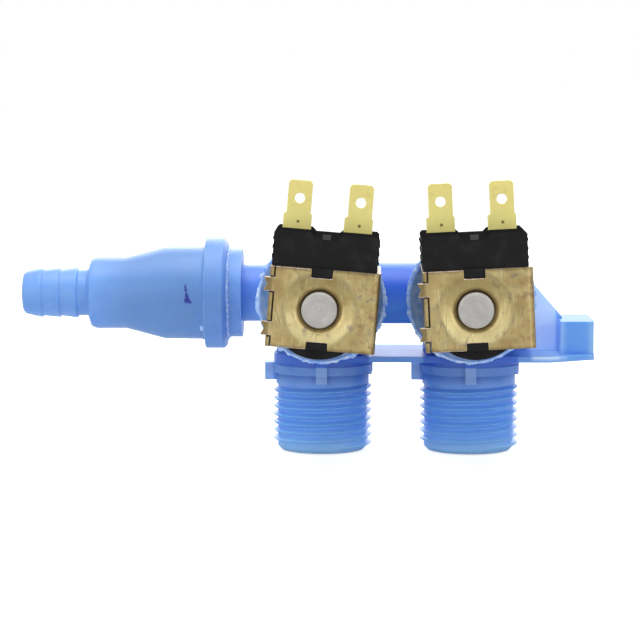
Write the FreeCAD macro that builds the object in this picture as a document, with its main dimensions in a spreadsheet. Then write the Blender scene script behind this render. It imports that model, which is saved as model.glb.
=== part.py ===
"""Washing machine inlet valve: two solenoid valves on one moulded manifold.

Millimetres. X runs along the outlet pipe towards the mounting ear, Y away from the solenoids' buttons,
Z up. The origin is on the underside of the mounting plate, midway between the two inlets, which point down.
Depths of the solenoid parts are measured from the inlets' plane towards the buttons, so a depth is -Y.
"""

import FreeCAD, Part
import math
import os
import re

import Sketcher

SIZES = {
    # Manifold: inlets, pipe and bowls.
    "inlet_spacing": 40.0,
    "axis_rise": 17.2,
    "pipe_setback": 4.0,
    "pipe_radius": 8.4,
    "stub_radius": 7.8,
    "pipe_bore": 5.6,
    "pipe_end_reach": 11.5,
    "bowl_radius": 15.2,
    "bowl_back": 3.0,
    "bowl_corner": 3.0,
    "bowl_head_radius": 16.5,
    "bowl_head_depth": 9.0,
    "weld_lip_radius": 17.2,
    "weld_lip_thickness": 1.8,
    "bowl_face": 16.0,
    "chamber_radius": 13.0,
    "chamber_back": 2.0,
    "seat_radius": 6.6,
    "seat_bore": 4.6,
    "seat_depth": 10.2,
    # Inlet spigots.
    "neck_radius": 12.6,
    "neck_top": 8.0,
    "collar_radius": 13.3,
    "collar_drop": 2.7,
    "relief_radius": 12.7,
    "relief_drop": 7.0,
    "thread_root": 12.2,
    "spigot_length": 25.2,
    "spigot_chamfer": 1.0,
    "spigot_bore": 9.4,
    "bore_top": 6.5,
    "bore_taper": 2.0,
    "screen_seat_radius": 10.9,
    "screen_seat_depth": 1.2,
    "side_lug_reach": 15.7,
    "right_lug_reach": 13.5,
    "right_lug_drop": 4.4,
    "lug_root": 10.4,
    "side_lug_top": 1.2,
    "lug_drop": 5.9,
    "side_lug_width": 6.0,
    "front_lug_reach": 14.2,
    "front_lug_width": 2.9,
    # Mounting plate, ear and gusset.
    "plate_thickness": 1.6,
    "plate_front": 13.0,
    "plate_rear": 17.0,
    "plate_taper_start": 41.5,
    "ear_left": 44.7,
    "ear_right": 53.7,
    "ear_front": 6.0,
    "ear_rear": 14.0,
    "ear_height": 10.4,
    "ear_corner": 1.6,
    "ear_hole_radius": 1.75,
    "ear_hole_depth": 8.0,
    "web_thickness": 3.0,
    "web_overlap": 1.0,
    "web_shoulder": 37.4,
    "web_shoulder_rise": 20.4,
    "web_foot_rise": 12.0,
    # Outlet bell and its welded joint with the manifold.
    "joint_face": 46.0,
    "joint_collar_radius": 12.1,
    "joint_collar_length": 4.0,
    "nozzle_radius": 10.4,
    "nozzle_length": 10.0,
    "nozzle_mouth": 7.6,
    "skirt_radius": 15.2,
    "skirt_length": 6.0,
    "skirt_chamfer": 1.0,
    "bell_radius": 12.7,
    "bell_draft": 0.1,
    "bell_cone_start": 63.3,
    "bell_cone_end": 74.0,
    "throat_radius": 9.8,
    "throat_end": 82.5,
    "throat_chamfer": 1.9,
    "barb_root": 6.3,
    "barb_crest": 6.9,
    "barb_pitch": 4.8,
    "barb_first": 87.3,
    "barb_lead": 5.8,
    "barb_nose": 0.7,
    "outlet_end": 102.3,
    "outlet_bore": 4.3,
    "weld_clearance": 0.1,
    "washer_radius": 8.8,
    "washer_thickness": 3.2,
    "washer_hole": 2.6,
    "washer_dish": 0.8,
    "washer_ledge": 1.6,
    "washer_lead": 3.0,
    # Diaphragm and its insert.
    "bead_radius": 15.2,
    "bead_inner": 13.0,
    "bead_thickness": 2.2,
    "web_rubber": 0.8,
    "pad_radius": 8.6,
    "pad_thickness": 2.0,
    "pad_slope": 0.6,
    "diaphragm_clearance": 0.1,
    "insert_radius": 7.2,
    "insert_thickness": 1.4,
    "insert_stem": 2.2,
    "insert_snap": 2.9,
    "insert_snap_length": 0.9,
    "pilot_radius": 1.6,
    "pilot_slope": 0.5,
    "pilot_height": 0.7,
    "pilot_bore": 0.7,
    # Guide tube, armature and spring.
    "guide_flange_radius": 16.4,
    "guide_flange_thickness": 2.0,
    "guide_plug_inner": 12.8,
    "guide_radius": 4.6,
    "guide_bore": 3.8,
    "guide_end": 46.3,
    "guide_end_wall": 1.8,
    "guide_end_round": 0.7,
    "armature_clearance": 0.08,
    "armature_length": 23.0,
    "armature_chamfer": 0.5,
    "tip_radius": 2.4,
    "tip_length": 2.6,
    "tip_proud": 0.6,
    "spring_well_radius": 2.3,
    "spring_well_depth": 6.0,
    "spring_mean_radius": 1.7,
    "spring_wire": 0.25,
    "spring_turns": 5.0,
    # Coil, sleeve, terminals and bracket.
    "bracket_width": 28.2,
    "bracket_height": 20.7,
    "bracket_shift": 0.9,
    "bracket_face": 45.0,
    "sheet_thickness": 1.2,
    "fold_radius": 1.8,
    "joint_gap": 0.12,
    "joint_tab_height": 3.6,
    "joint_tab_offset": 5.7,
    "joint_tab_proud": 1.5,
    "joint_tab_split": 0.9,
    "notch_width": 5.4,
    "top_notch": 2.2,
    "bottom_notch": 1.9,
    "drawn_hole": 4.85,
    "drawn_mouth": 6.9,
    "drawn_length": 4.0,
    "drawn_wall": 1.1,
    "coil_clearance": 0.1,
    "cut_overrun": 1.0,
    "coil_disc_radius": 12.9,
    "coil_half_width": 11.8,
    "head_half_width": 13.5,
    "head_shift": 0.45,
    "head_top": 19.5,
    "head_corner": 0.6,
    "head_dip": 1.5,
    "head_dip_half": 2.6,
    "head_dip_slope": 1.6,
    "bobbin_bore": 6.2,
    "bobbin_wall": 0.9,
    "bobbin_flange_radius": 10.9,
    "bobbin_flange": 1.2,
    "coil_end_wall": 1.0,
    "winding_radius": 10.3,
    "sleeve_bore": 4.75,
    "sleeve_radius": 6.05,
    "terminal_pitch": 15.9,
    "terminal_width": 6.3,
    "terminal_thickness": 0.8,
    "terminal_tip": 32.1,
    "terminal_point": 0.8,
    "terminal_point_width": 0.64,
    "terminal_hole_drop": 4.7,
    "terminal_hole": 1.32,
    "shoulder_width": 7.4,
    "shoulder_shift": 0.2,
    "shoulder_height": 4.1,
    "shoulder_corner": 0.3,
    "terminal_foot": 14.5,
    "turn_left": 4.6,
    "turn_right": 2.9,
    # Inlet screens.
    "screen_flange_inner": 7.9,
    "screen_flange": 1.0,
    "screen_basket_radius": 8.5,
    "screen_tip_radius": 4.5,
    "screen_length": 13.0,
    "screen_wall": 0.8,
    "screen_window_width": 2.4,
    "screen_windows": 8.0,
    "screen_clearance": 0.1,
}

doc = FreeCAD.newDocument("InletValve")
sheet = doc.addObject("Spreadsheet::Sheet", "Sizes")
for row, (alias, size) in enumerate(SIZES.items(), start=1):
    sheet.set(f"A{row}", alias)
    sheet.set(f"B{row}", str(size))
    sheet.setAlias(f"B{row}", alias)
doc.recompute()

nodes = []


def bound(text):
    """Turn a sum of sheet names into the expression that the document keeps."""
    return re.sub(r"[a-z][a-z_]+", lambda word: "Sizes." + word.group(0), text)


def number(text):
    """Work out what such a sum comes to now."""
    return float(sheet.evalExpression(bound(text)))


def hold(sketch, curve, end, across, up):
    """Tie a point of a sketch to its two coordinates."""
    for kind, axis, text in (("DistanceX", -2, across), ("DistanceY", -1, up)):
        if text == "0":
            sketch.addConstraint(Sketcher.Constraint("PointOnObject", curve, end, axis))
        else:
            index = sketch.addConstraint(
                Sketcher.Constraint(kind, -1, 1, curve, end, number(text))
            )
            sketch.setExpression(f"Constraints[{index}]", bound(text))


def sketch_on(body, role, lift="0"):
    """Start a sketch on one of the body's own origin planes, lifted along its normal."""
    sketch = body.newObject("Sketcher::SketchObject", f"{body.Name}_sketch")
    plane = [f for f in body.Origin.OriginFeatures if f.Role == role][0]
    sketch.AttachmentSupport = [(plane, "")]
    sketch.MapMode = "FlatFace"
    if lift != "0":
        sketch.setExpression("AttachmentOffset.Base.z", bound(lift))
    return sketch


def outline(sketch, points):
    """Draw one closed outline through points written as pairs of sums."""
    spots = [FreeCAD.Vector(number(x), number(y), 0) for x, y in points]
    first = sketch.GeometryCount
    count = len(spots)
    for i, spot in enumerate(spots):
        sketch.addGeometry(Part.LineSegment(spot, spots[(i + 1) % count]), False)
    for i in range(count):
        following = first + (i + 1) % count
        sketch.addConstraint(
            Sketcher.Constraint("Coincident", first + i, 2, following, 1)
        )
    for i, (x, y) in enumerate(points):
        hold(sketch, first + i, 1, x, y)


def circle(sketch, across, up, radius):
    """Draw one circle."""
    spot = FreeCAD.Vector(number(across), number(up), 0)
    curve = sketch.addGeometry(
        Part.Circle(spot, FreeCAD.Vector(0, 0, 1), number(radius)), False
    )
    index = sketch.addConstraint(
        Sketcher.Constraint("Radius", curve, number(radius))
    )
    sketch.setExpression(f"Constraints[{index}]", bound(radius))
    hold(sketch, curve, 3, across, up)


def rectangle(sketch, left, right, low, high):
    """Draw one rectangle by its four sides."""
    outline(sketch, [(left, low), (right, low), (right, high), (left, high)])


def axis_line(sketch, start, end):
    """Draw the construction line that a profile turns about."""
    spots = [FreeCAD.Vector(number(x), number(y), 0) for x, y in (start, end)]
    curve = sketch.addGeometry(Part.LineSegment(*spots), True)
    hold(sketch, curve, 1, *start)
    hold(sketch, curve, 2, *end)


def extrude(body, kind, sketch, length, backwards=False, midplane=False):
    """Pad or pocket a sketch by a length."""
    feature = body.newObject(f"PartDesign::{kind}", f"{body.Name}_{kind.lower()}")
    feature.Profile = sketch
    feature.Reversed = backwards
    feature.Midplane = midplane
    feature.setExpression("Length", bound(length))
    sketch.Visibility = False
    return feature


def turn(body, kind, sketch, axis):
    """Revolve or groove a sketch all the way round one of its lines."""
    feature = body.newObject(f"PartDesign::{kind}", f"{body.Name}_{kind.lower()}")
    feature.Profile = sketch
    feature.ReferenceAxis = (sketch, [axis])
    feature.Angle = 360
    sketch.Visibility = False
    return feature


def round_edges(body, kind, size, wanted):
    """Fillet or chamfer the edges of the body's latest feature that a test picks."""
    doc.recompute()
    base = body.Tip
    picked = [
        f"Edge{i + 1}" for i, edge in enumerate(base.Shape.Edges) if wanted(edge)
    ]
    feature = body.newObject(f"PartDesign::{kind}", f"{body.Name}_{kind.lower()}")
    feature.Base = (base, picked)
    feature.setExpression("Radius" if kind == "Fillet" else "Size", bound(size))
    return feature


def new_body(name):
    """Start a sub-part whose label names its node."""
    body = doc.addObject("PartDesign::Body", name)
    body.Label = name
    nodes.append(body)
    return body


def place(body, across="0", along="0", up="0"):
    """Bind a body's position to the sheet."""
    for axis, text in (("x", across), ("y", along), ("z", up)):
        if text != "0":
            body.setExpression(f"Placement.Base.{axis}", bound(text))


def seat_on_axis(body, side):
    """Put a solenoid part on its valve's axis, turned with that valve's coil."""
    sign, angle = ("-", "turn_left") if side == "left" else ("", "turn_right")
    lean = FreeCAD.Vector(0, 1 if side == "left" else -1, 0)
    body.Placement = FreeCAD.Placement(
        FreeCAD.Vector(), FreeCAD.Rotation(lean, number(angle))
    )
    body.setExpression("Placement.Rotation.Angle", bound(angle))
    place(body, across=f"{sign}inlet_spacing / 2", up="axis_rise")


def mean(edge, axis):
    """Find the middle of an edge's box along one axis."""
    box = edge.BoundBox
    return getattr(box.Center, axis)


def is_upright(edge):
    """Tell a straight edge that runs along Z."""
    box = edge.BoundBox
    return box.ZLength > 1e-3 and box.XLength < 1e-3 and box.YLength < 1e-3


def make_valve_body():
    """The one blue moulding: pipe, bowls, seats, spigots, plate, gusset and ear."""
    body = new_body("valve_body")
    sides = ("-inlet_spacing / 2", "inlet_spacing / 2")

    pipe = sketch_on(body, "XZ_Plane", "-pipe_setback")
    end = "inlet_spacing / 2 + pipe_end_reach"
    nozzle = "-joint_face - nozzle_length"
    collar = "-joint_face + joint_collar_length"
    axis_line(pipe, (nozzle, "axis_rise"), (end, "axis_rise"))
    outline(
        pipe,
        [
            (nozzle, "axis_rise"),
            (nozzle, "axis_rise + nozzle_radius"),
            ("-joint_face", "axis_rise + nozzle_radius"),
            ("-joint_face", "axis_rise + joint_collar_radius"),
            (collar, "axis_rise + joint_collar_radius"),
            (collar, "axis_rise + stub_radius"),
            ("-inlet_spacing / 2", "axis_rise + stub_radius"),
            ("-inlet_spacing / 2", "axis_rise + pipe_radius"),
            (end, "axis_rise + pipe_radius"),
            (end, "axis_rise"),
        ],
    )
    turn(body, "Revolution", pipe, "Axis0")

    for x in sides:
        bowl = sketch_on(body, "XY_Plane", "axis_rise")
        axis_line(bowl, (x, "bowl_back"), (x, "-bowl_face"))
        outline(
            bowl,
            [
                (x, "bowl_back"),
                (f"{x} + bowl_radius - bowl_corner", "bowl_back"),
                (f"{x} + bowl_radius", "bowl_back - bowl_corner"),
                (f"{x} + bowl_radius", "-bowl_head_depth"),
                (f"{x} + bowl_head_radius", "-bowl_head_depth"),
                (f"{x} + bowl_head_radius", "-bowl_face + weld_lip_thickness"),
                (f"{x} + weld_lip_radius", "-bowl_face + weld_lip_thickness"),
                (f"{x} + weld_lip_radius", "-bowl_face"),
                (x, "-bowl_face"),
            ],
        )
        turn(body, "Revolution", bowl, "Axis0")

        spigot = sketch_on(body, "XZ_Plane")
        axis_line(spigot, (x, "neck_top"), (x, "-spigot_length"))
        outline(
            spigot,
            [
                (x, "neck_top"),
                (f"{x} + neck_radius", "neck_top"),
                (f"{x} + neck_radius", "plate_thickness"),
                (f"{x} + collar_radius", "plate_thickness"),
                (f"{x} + collar_radius", "-collar_drop"),
                (f"{x} + relief_radius", "-collar_drop"),
                (f"{x} + relief_radius", "-relief_drop"),
                (f"{x} + thread_root", "-relief_drop"),
                (f"{x} + thread_root", "-spigot_length + spigot_chamfer"),
                (f"{x} + thread_root - spigot_chamfer", "-spigot_length"),
                (x, "-spigot_length"),
            ],
        )
        turn(body, "Revolution", spigot, "Axis0")

        free_lug_top = "side_lug_top" if x == sides[0] else "0"
        for left, right, top, drop in (
            (f"{x} - side_lug_reach", f"{x} - lug_root", free_lug_top, "lug_drop"),
            (f"{x} + lug_root", f"{x} + right_lug_reach", "0", "right_lug_drop"),
        ):
            lug = sketch_on(body, "XY_Plane", f"-{top}" if top != "0" else "0")
            rectangle(
                lug, left, right, "-side_lug_width / 2", "side_lug_width / 2"
            )
            extrude(body, "Pad", lug, f"{drop} - {top}", backwards=True)

        keys = sketch_on(body, "XY_Plane")
        for low, high in (
            ("-front_lug_reach", "-lug_root"),
            ("lug_root", "front_lug_reach"),
        ):
            rectangle(
                keys,
                f"{x} - front_lug_width / 2",
                f"{x} + front_lug_width / 2",
                low,
                high,
            )
        extrude(body, "Pad", keys, "lug_drop", backwards=True)

    plate = sketch_on(body, "XY_Plane")
    outline(
        plate,
        [
            ("-inlet_spacing / 2", "-plate_front"),
            ("plate_taper_start", "-plate_front"),
            ("ear_right", "-ear_front"),
            ("ear_right", "ear_rear"),
            ("plate_taper_start", "plate_rear"),
            ("-inlet_spacing / 2 + plate_rear - neck_radius", "plate_rear"),
            ("-inlet_spacing / 2", "neck_radius"),
        ],
    )
    extrude(body, "Pad", plate, "plate_thickness")

    ear = sketch_on(body, "XY_Plane")
    rectangle(ear, "ear_left", "ear_right", "-ear_front", "ear_rear")
    extrude(body, "Pad", ear, "ear_height")

    web = sketch_on(body, "XZ_Plane", "-pipe_setback - web_thickness / 2")
    outline(
        web,
        [
            ("inlet_spacing / 2", "0"),
            ("ear_left + web_overlap", "0"),
            ("ear_left + web_overlap", "ear_height"),
            ("ear_left", "web_foot_rise"),
            ("web_shoulder", "web_shoulder_rise"),
            ("inlet_spacing / 2", "axis_rise + pipe_radius"),
        ],
    )
    extrude(body, "Pad", web, "web_thickness")

    for x in sides:
        chamber = sketch_on(body, "XY_Plane", "axis_rise")
        axis_line(chamber, (x, "-bowl_face"), (x, "pipe_setback"))
        outline(
            chamber,
            [
                (x, "-bowl_face"),
                (f"{x} + bead_radius + diaphragm_clearance", "-bowl_face"),
                (f"{x} + bead_radius + diaphragm_clearance", "-seat_depth"),
                (f"{x} + chamber_radius", "-seat_depth"),
                (f"{x} + chamber_radius", "-chamber_back"),
                (f"{x} + seat_radius", "-chamber_back"),
                (f"{x} + seat_radius", "-seat_depth"),
                (f"{x} + seat_bore", "-seat_depth"),
                (f"{x} + seat_bore", "pipe_setback"),
                (x, "pipe_setback"),
            ],
        )
        turn(body, "Groove", chamber, "Axis0")

        bore = sketch_on(body, "XZ_Plane")
        axis_line(bore, (x, "bore_top"), (x, "-spigot_length"))
        outline(
            bore,
            [
                (x, "bore_top"),
                (f"{x} + spigot_bore - bore_taper", "bore_top"),
                (f"{x} + spigot_bore", "bore_top - bore_taper"),
                (f"{x} + spigot_bore", "-spigot_length + screen_seat_depth"),
                (f"{x} + screen_seat_radius", "-spigot_length + screen_seat_depth"),
                (f"{x} + screen_seat_radius", "-spigot_length"),
                (x, "-spigot_length"),
            ],
        )
        turn(body, "Groove", bore, "Axis0")

    gallery = sketch_on(body, "XZ_Plane", "-pipe_setback")
    far = "inlet_spacing / 2 + seat_bore"
    mouth_end = "-joint_face - nozzle_length + nozzle_radius - pipe_bore"
    axis_line(gallery, (nozzle, "axis_rise"), (far, "axis_rise"))
    outline(
        gallery,
        [
            (nozzle, "axis_rise"),
            (nozzle, "axis_rise + nozzle_mouth"),
            (mouth_end, "axis_rise + pipe_bore"),
            (far, "axis_rise + pipe_bore"),
            (far, "axis_rise"),
        ],
    )
    turn(body, "Groove", gallery, "Axis0")

    screw = sketch_on(body, "XY_Plane")
    circle(
        screw,
        "(ear_left + ear_right) / 2",
        "(ear_rear - ear_front) / 2",
        "ear_hole_radius",
    )
    extrude(body, "Pocket", screw, "ear_hole_depth", backwards=True)

    right = number("ear_right")
    top = number("ear_height")
    round_edges(
        body,
        "Fillet",
        "ear_corner",
        lambda edge: is_upright(edge)
        and abs(mean(edge, "x") - right) < 1e-3
        and edge.BoundBox.ZMax > top - 1e-3,
    )


def make_outlet_bell():
    """The barbed bell housing, welded over the manifold's nozzle."""
    body = new_body("outlet_bell")
    profile = sketch_on(body, "XZ_Plane")
    washer_back = "-joint_face - nozzle_length - washer_thickness"
    points = [
        ("-joint_face - weld_clearance", "nozzle_radius + weld_clearance"),
        ("-joint_face - weld_clearance", "skirt_radius - skirt_chamfer"),
        ("-joint_face - weld_clearance - skirt_chamfer", "skirt_radius"),
        ("-joint_face - skirt_length", "skirt_radius"),
        ("-joint_face - skirt_length", "bell_radius"),
        ("-bell_cone_start", "bell_radius - bell_draft"),
        ("-bell_cone_end", "throat_radius"),
        ("-throat_end", "throat_radius"),
        ("-throat_end - throat_chamfer", "throat_radius - throat_chamfer"),
        ("-throat_end - throat_chamfer", "barb_root"),
    ]
    for ring in range(3):
        crest = f"-barb_first - {ring} * barb_pitch"
        points.append((crest, "barb_root"))
        points.append((crest, "barb_crest"))
    points += [
        ("-outlet_end + barb_nose", "barb_lead"),
        ("-outlet_end", "barb_lead - barb_nose"),
        ("-outlet_end", "outlet_bore"),
        ("-bell_cone_end", "outlet_bore"),
        (f"{washer_back} - washer_lead", "washer_radius - washer_ledge"),
        (washer_back, "washer_radius - washer_ledge"),
        (washer_back, "nozzle_radius + weld_clearance"),
    ]
    outline(profile, points)
    turn(body, "Revolution", profile, "H_Axis")
    place(body, along="pipe_setback", up="axis_rise")


def make_flow_washer():
    """The rubber disc that steadies the flow, clamped between nozzle and bell."""
    body = new_body("flow_washer")
    profile = sketch_on(body, "XZ_Plane")
    front = "-joint_face - nozzle_length"
    outline(
        profile,
        [
            (front, "washer_hole + washer_dish"),
            (f"{front} - washer_dish", "washer_hole"),
            (f"{front} - washer_thickness", "washer_hole"),
            (f"{front} - washer_thickness", "washer_radius"),
            (front, "washer_radius"),
        ],
    )
    turn(body, "Revolution", profile, "H_Axis")
    place(body, along="pipe_setback", up="axis_rise")


def make_turned(name, side, points, on_coil=True):
    """A part turned about a solenoid's axis: pairs of radius and depth towards the button."""
    body = new_body(f"{name}_{side}")
    profile = sketch_on(body, "XY_Plane")
    outline(profile, [(radius, f"-({depth})") for radius, depth in points])
    turn(body, "Revolution", profile, "V_Axis")
    if on_coil:
        seat_on_axis(body, side)
    return body


def make_diaphragm(side):
    """The rubber diaphragm, its bead in the bowl and its pad shut on the seat."""
    middle = "seat_depth + bead_thickness / 2"
    make_turned(
        "diaphragm",
        side,
        [
            ("insert_stem", "seat_depth"),
            ("pad_radius", "seat_depth"),
            ("pad_radius + pad_slope", f"{middle} - web_rubber / 2"),
            ("bead_inner", f"{middle} - web_rubber / 2"),
            ("bead_inner", "seat_depth"),
            ("bead_radius", "seat_depth"),
            ("bead_radius", "seat_depth + bead_thickness"),
            ("bead_inner", "seat_depth + bead_thickness"),
            ("bead_inner", f"{middle} + web_rubber / 2"),
            ("pad_radius + pad_slope", f"{middle} + web_rubber / 2"),
            ("pad_radius", "seat_depth + pad_thickness"),
            ("insert_stem", "seat_depth + pad_thickness"),
        ],
    )


def make_insert(side):
    """The stiff insert snapped through the diaphragm, with the pilot seat on its face."""
    face = "seat_depth + pad_thickness"
    make_turned(
        "diaphragm_insert",
        side,
        [
            ("pilot_bore", "seat_depth - insert_snap_length"),
            ("insert_stem", "seat_depth - insert_snap_length"),
            ("insert_snap", "seat_depth"),
            ("insert_stem", "seat_depth"),
            ("insert_stem", face),
            ("insert_radius", face),
            ("insert_radius", f"{face} + insert_thickness"),
            ("pilot_radius + pilot_slope", f"{face} + insert_thickness"),
            ("pilot_radius", f"{face} + insert_thickness + pilot_height"),
            ("pilot_bore", f"{face} + insert_thickness + pilot_height"),
        ],
    )


def make_guide(side):
    """The white guide tube with the flange that is welded on the bowl."""
    flange = "bowl_face + guide_flange_thickness"
    body = make_turned(
        "guide_tube",
        side,
        [
            ("guide_bore", "bowl_face"),
            ("guide_plug_inner", "bowl_face"),
            ("guide_plug_inner", "seat_depth + bead_thickness"),
            ("bead_radius", "seat_depth + bead_thickness"),
            ("bead_radius", "bowl_face"),
            ("guide_flange_radius", "bowl_face"),
            ("guide_flange_radius", flange),
            ("guide_radius", flange),
            ("guide_radius", "guide_end"),
            ("0", "guide_end"),
            ("0", "guide_end - guide_end_wall"),
            ("guide_bore", "guide_end - guide_end_wall"),
        ],
    )
    end = -number("guide_end")
    radius = number("guide_radius")
    round_edges(
        body,
        "Fillet",
        "guide_end_round",
        lambda edge: abs(mean(edge, "y") - end) < 1e-3
        and abs(edge.BoundBox.XMax - radius) < 1e-2,
    )


def make_armature(side):
    """The steel plunger, with a rubber tip behind and a well for its spring in front."""
    back = "seat_depth + pad_thickness + insert_thickness + pilot_height + tip_proud"
    front = f"{back} + armature_length"
    radius = "guide_bore - armature_clearance"
    make_turned(
        "armature",
        side,
        [
            ("tip_radius", back),
            (f"{radius} - armature_chamfer", back),
            (radius, f"{back} + armature_chamfer"),
            (radius, f"{front} - armature_chamfer"),
            (f"{radius} - armature_chamfer", front),
            ("spring_well_radius", front),
            ("spring_well_radius", f"{front} - spring_well_depth"),
            ("0", f"{front} - spring_well_depth"),
            ("0", f"{back} + tip_length - tip_proud"),
            ("tip_radius", f"{back} + tip_length - tip_proud"),
        ],
    )
    make_turned(
        "armature_tip",
        side,
        [
            ("0", f"{back} - tip_proud"),
            ("tip_radius", f"{back} - tip_proud"),
            ("tip_radius", f"{back} + tip_length - tip_proud"),
            ("0", f"{back} + tip_length - tip_proud"),
        ],
    )
    make_spring(side, f"{front} - spring_well_depth")


def make_spring(side, start):
    """The spring between the armature's well and the closed end of the guide tube."""
    spring = doc.addObject("Part::Feature", f"armature_spring_{side}")
    spring.Label = spring.Name
    wire = number("spring_wire")
    radius = number("spring_mean_radius")
    low = number(start) + wire
    high = number("guide_end - guide_end_wall") - wire
    helix = Part.makeHelix((high - low) / number("spring_turns"), high - low, radius)
    section = Part.Wire(
        Part.makeCircle(
            wire, FreeCAD.Vector(radius, 0, 0), FreeCAD.Vector(0, 1, 0)
        )
    )
    coil = Part.Wire(helix.Edges).makePipeShell([section], True, True)
    along = FreeCAD.Placement(
        FreeCAD.Vector(0, -low, 0), FreeCAD.Rotation(FreeCAD.Vector(1, 0, 0), 90)
    )
    spring.Shape = coil.transformed(along.Matrix, copy=True)
    seat_on_axis(spring, side)
    nodes.append(spring)


def make_sleeve(side):
    """The steel tube that joins the bracket's two drawn collars round the guide tube."""
    back = "bowl_face + guide_flange_thickness + drawn_length + coil_clearance"
    front = "bracket_face - drawn_length - coil_clearance"
    make_turned(
        "flux_sleeve",
        side,
        [
            ("sleeve_bore", back),
            ("sleeve_radius", back),
            ("sleeve_radius", front),
            ("sleeve_bore", front),
        ],
    )


def coil_span():
    """Give the depths between which the bobbin lies inside the coil's moulding."""
    back = (
        "bowl_face + guide_flange_thickness + sheet_thickness + coil_clearance"
        " + coil_end_wall"
    )
    front = "bracket_face - sheet_thickness - coil_clearance - coil_end_wall"
    return back, front


def make_bobbin(side):
    """The bobbin and the winding on it."""
    back, front = coil_span()
    barrel = "bobbin_bore + bobbin_wall"
    make_turned(
        "bobbin",
        side,
        [
            ("bobbin_bore", back),
            ("bobbin_flange_radius", back),
            ("bobbin_flange_radius", f"{back} + bobbin_flange"),
            (barrel, f"{back} + bobbin_flange"),
            (barrel, f"{front} - bobbin_flange"),
            ("bobbin_flange_radius", f"{front} - bobbin_flange"),
            ("bobbin_flange_radius", front),
            ("bobbin_bore", front),
        ],
    )
    make_turned(
        "winding",
        side,
        [
            (barrel, f"{back} + bobbin_flange"),
            ("winding_radius", f"{back} + bobbin_flange"),
            ("winding_radius", f"{front} - bobbin_flange"),
            (barrel, f"{front} - bobbin_flange"),
        ],
    )


def make_coil(side):
    """The black moulding round the winding, with the head that carries the terminals."""
    body = new_body(f"coil_{side}")
    back, front = coil_span()
    rear_face = f"{back} - coil_end_wall"
    depth = f"({front} + coil_end_wall) - ({rear_face})"
    shelf = "bracket_height / 2 + coil_clearance"

    disc = sketch_on(body, "XZ_Plane", rear_face)
    circle(disc, "0", "0", "coil_disc_radius")
    extrude(body, "Pad", disc, depth)

    flats = sketch_on(body, "XZ_Plane", f"{front} + coil_end_wall")
    for near, far in (
        ("coil_half_width", "coil_disc_radius + cut_overrun"),
        ("-coil_disc_radius - cut_overrun", "-coil_half_width"),
    ):
        rectangle(flats, near, far, "-coil_disc_radius", "coil_disc_radius")
    extrude(body, "Pocket", flats, depth)

    block = sketch_on(body, "XZ_Plane", rear_face)
    rectangle(block, "-coil_half_width", "coil_half_width", "0", shelf)
    extrude(body, "Pad", block, depth)

    head = sketch_on(body, "XZ_Plane", rear_face)
    dip = "head_dip_half + head_dip_slope"
    outline(
        head,
        [
            ("head_shift - head_half_width", shelf),
            ("head_shift + head_half_width", shelf),
            ("head_shift + head_half_width", "head_top - head_corner"),
            ("head_shift + head_half_width - head_corner", "head_top"),
            (f"head_shift + {dip}", "head_top"),
            ("head_shift + head_dip_half", "head_top - head_dip"),
            ("head_shift - head_dip_half", "head_top - head_dip"),
            (f"head_shift - ({dip})", "head_top"),
            ("head_shift - head_half_width + head_corner", "head_top"),
            ("head_shift - head_half_width", "head_top - head_corner"),
        ],
    )
    extrude(body, "Pad", head, depth)

    for low, high in (
        (
            "bracket_height / 2 - top_notch + joint_gap",
            "bracket_height / 2 + coil_clearance",
        ),
        (
            "-bracket_height / 2 - coil_clearance",
            "-bracket_height / 2 + bottom_notch - joint_gap",
        ),
    ):
        tongue = sketch_on(body, "XZ_Plane", f"{front} + coil_end_wall")
        rectangle(
            tongue,
            "-notch_width / 2 + joint_gap",
            "notch_width / 2 - joint_gap",
            low,
            high,
        )
        extrude(body, "Pad", tongue, "sheet_thickness + coil_clearance")

    cavity = sketch_on(body, "XY_Plane")
    outline(
        cavity,
        [
            ("0", f"-({rear_face})"),
            ("bobbin_bore", f"-({rear_face})"),
            ("bobbin_bore", f"-({back})"),
            ("bobbin_flange_radius", f"-({back})"),
            ("bobbin_flange_radius", f"-({front})"),
            ("bobbin_bore", f"-({front})"),
            ("bobbin_bore", f"-({front} + coil_end_wall)"),
            ("0", f"-({front} + coil_end_wall)"),
        ],
    )
    turn(body, "Groove", cavity, "V_Axis")

    slots = sketch_on(body, "XZ_Plane", terminal_plane("+"))
    for sign in ("-", "+"):
        x = f"head_shift {sign} terminal_pitch / 2"
        rectangle(
            slots,
            f"{x} - shoulder_shift - shoulder_width / 2",
            f"{x} - shoulder_shift + shoulder_width / 2",
            "terminal_foot",
            "head_top + cut_overrun",
        )
    extrude(body, "Pocket", slots, "terminal_thickness")
    seat_on_axis(body, side)


def terminal_plane(sign):
    """Give the depth of the terminals' front or rear face."""
    back, front = coil_span()
    return f"({back} + {front}) / 2 {sign} terminal_thickness / 2"


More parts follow.
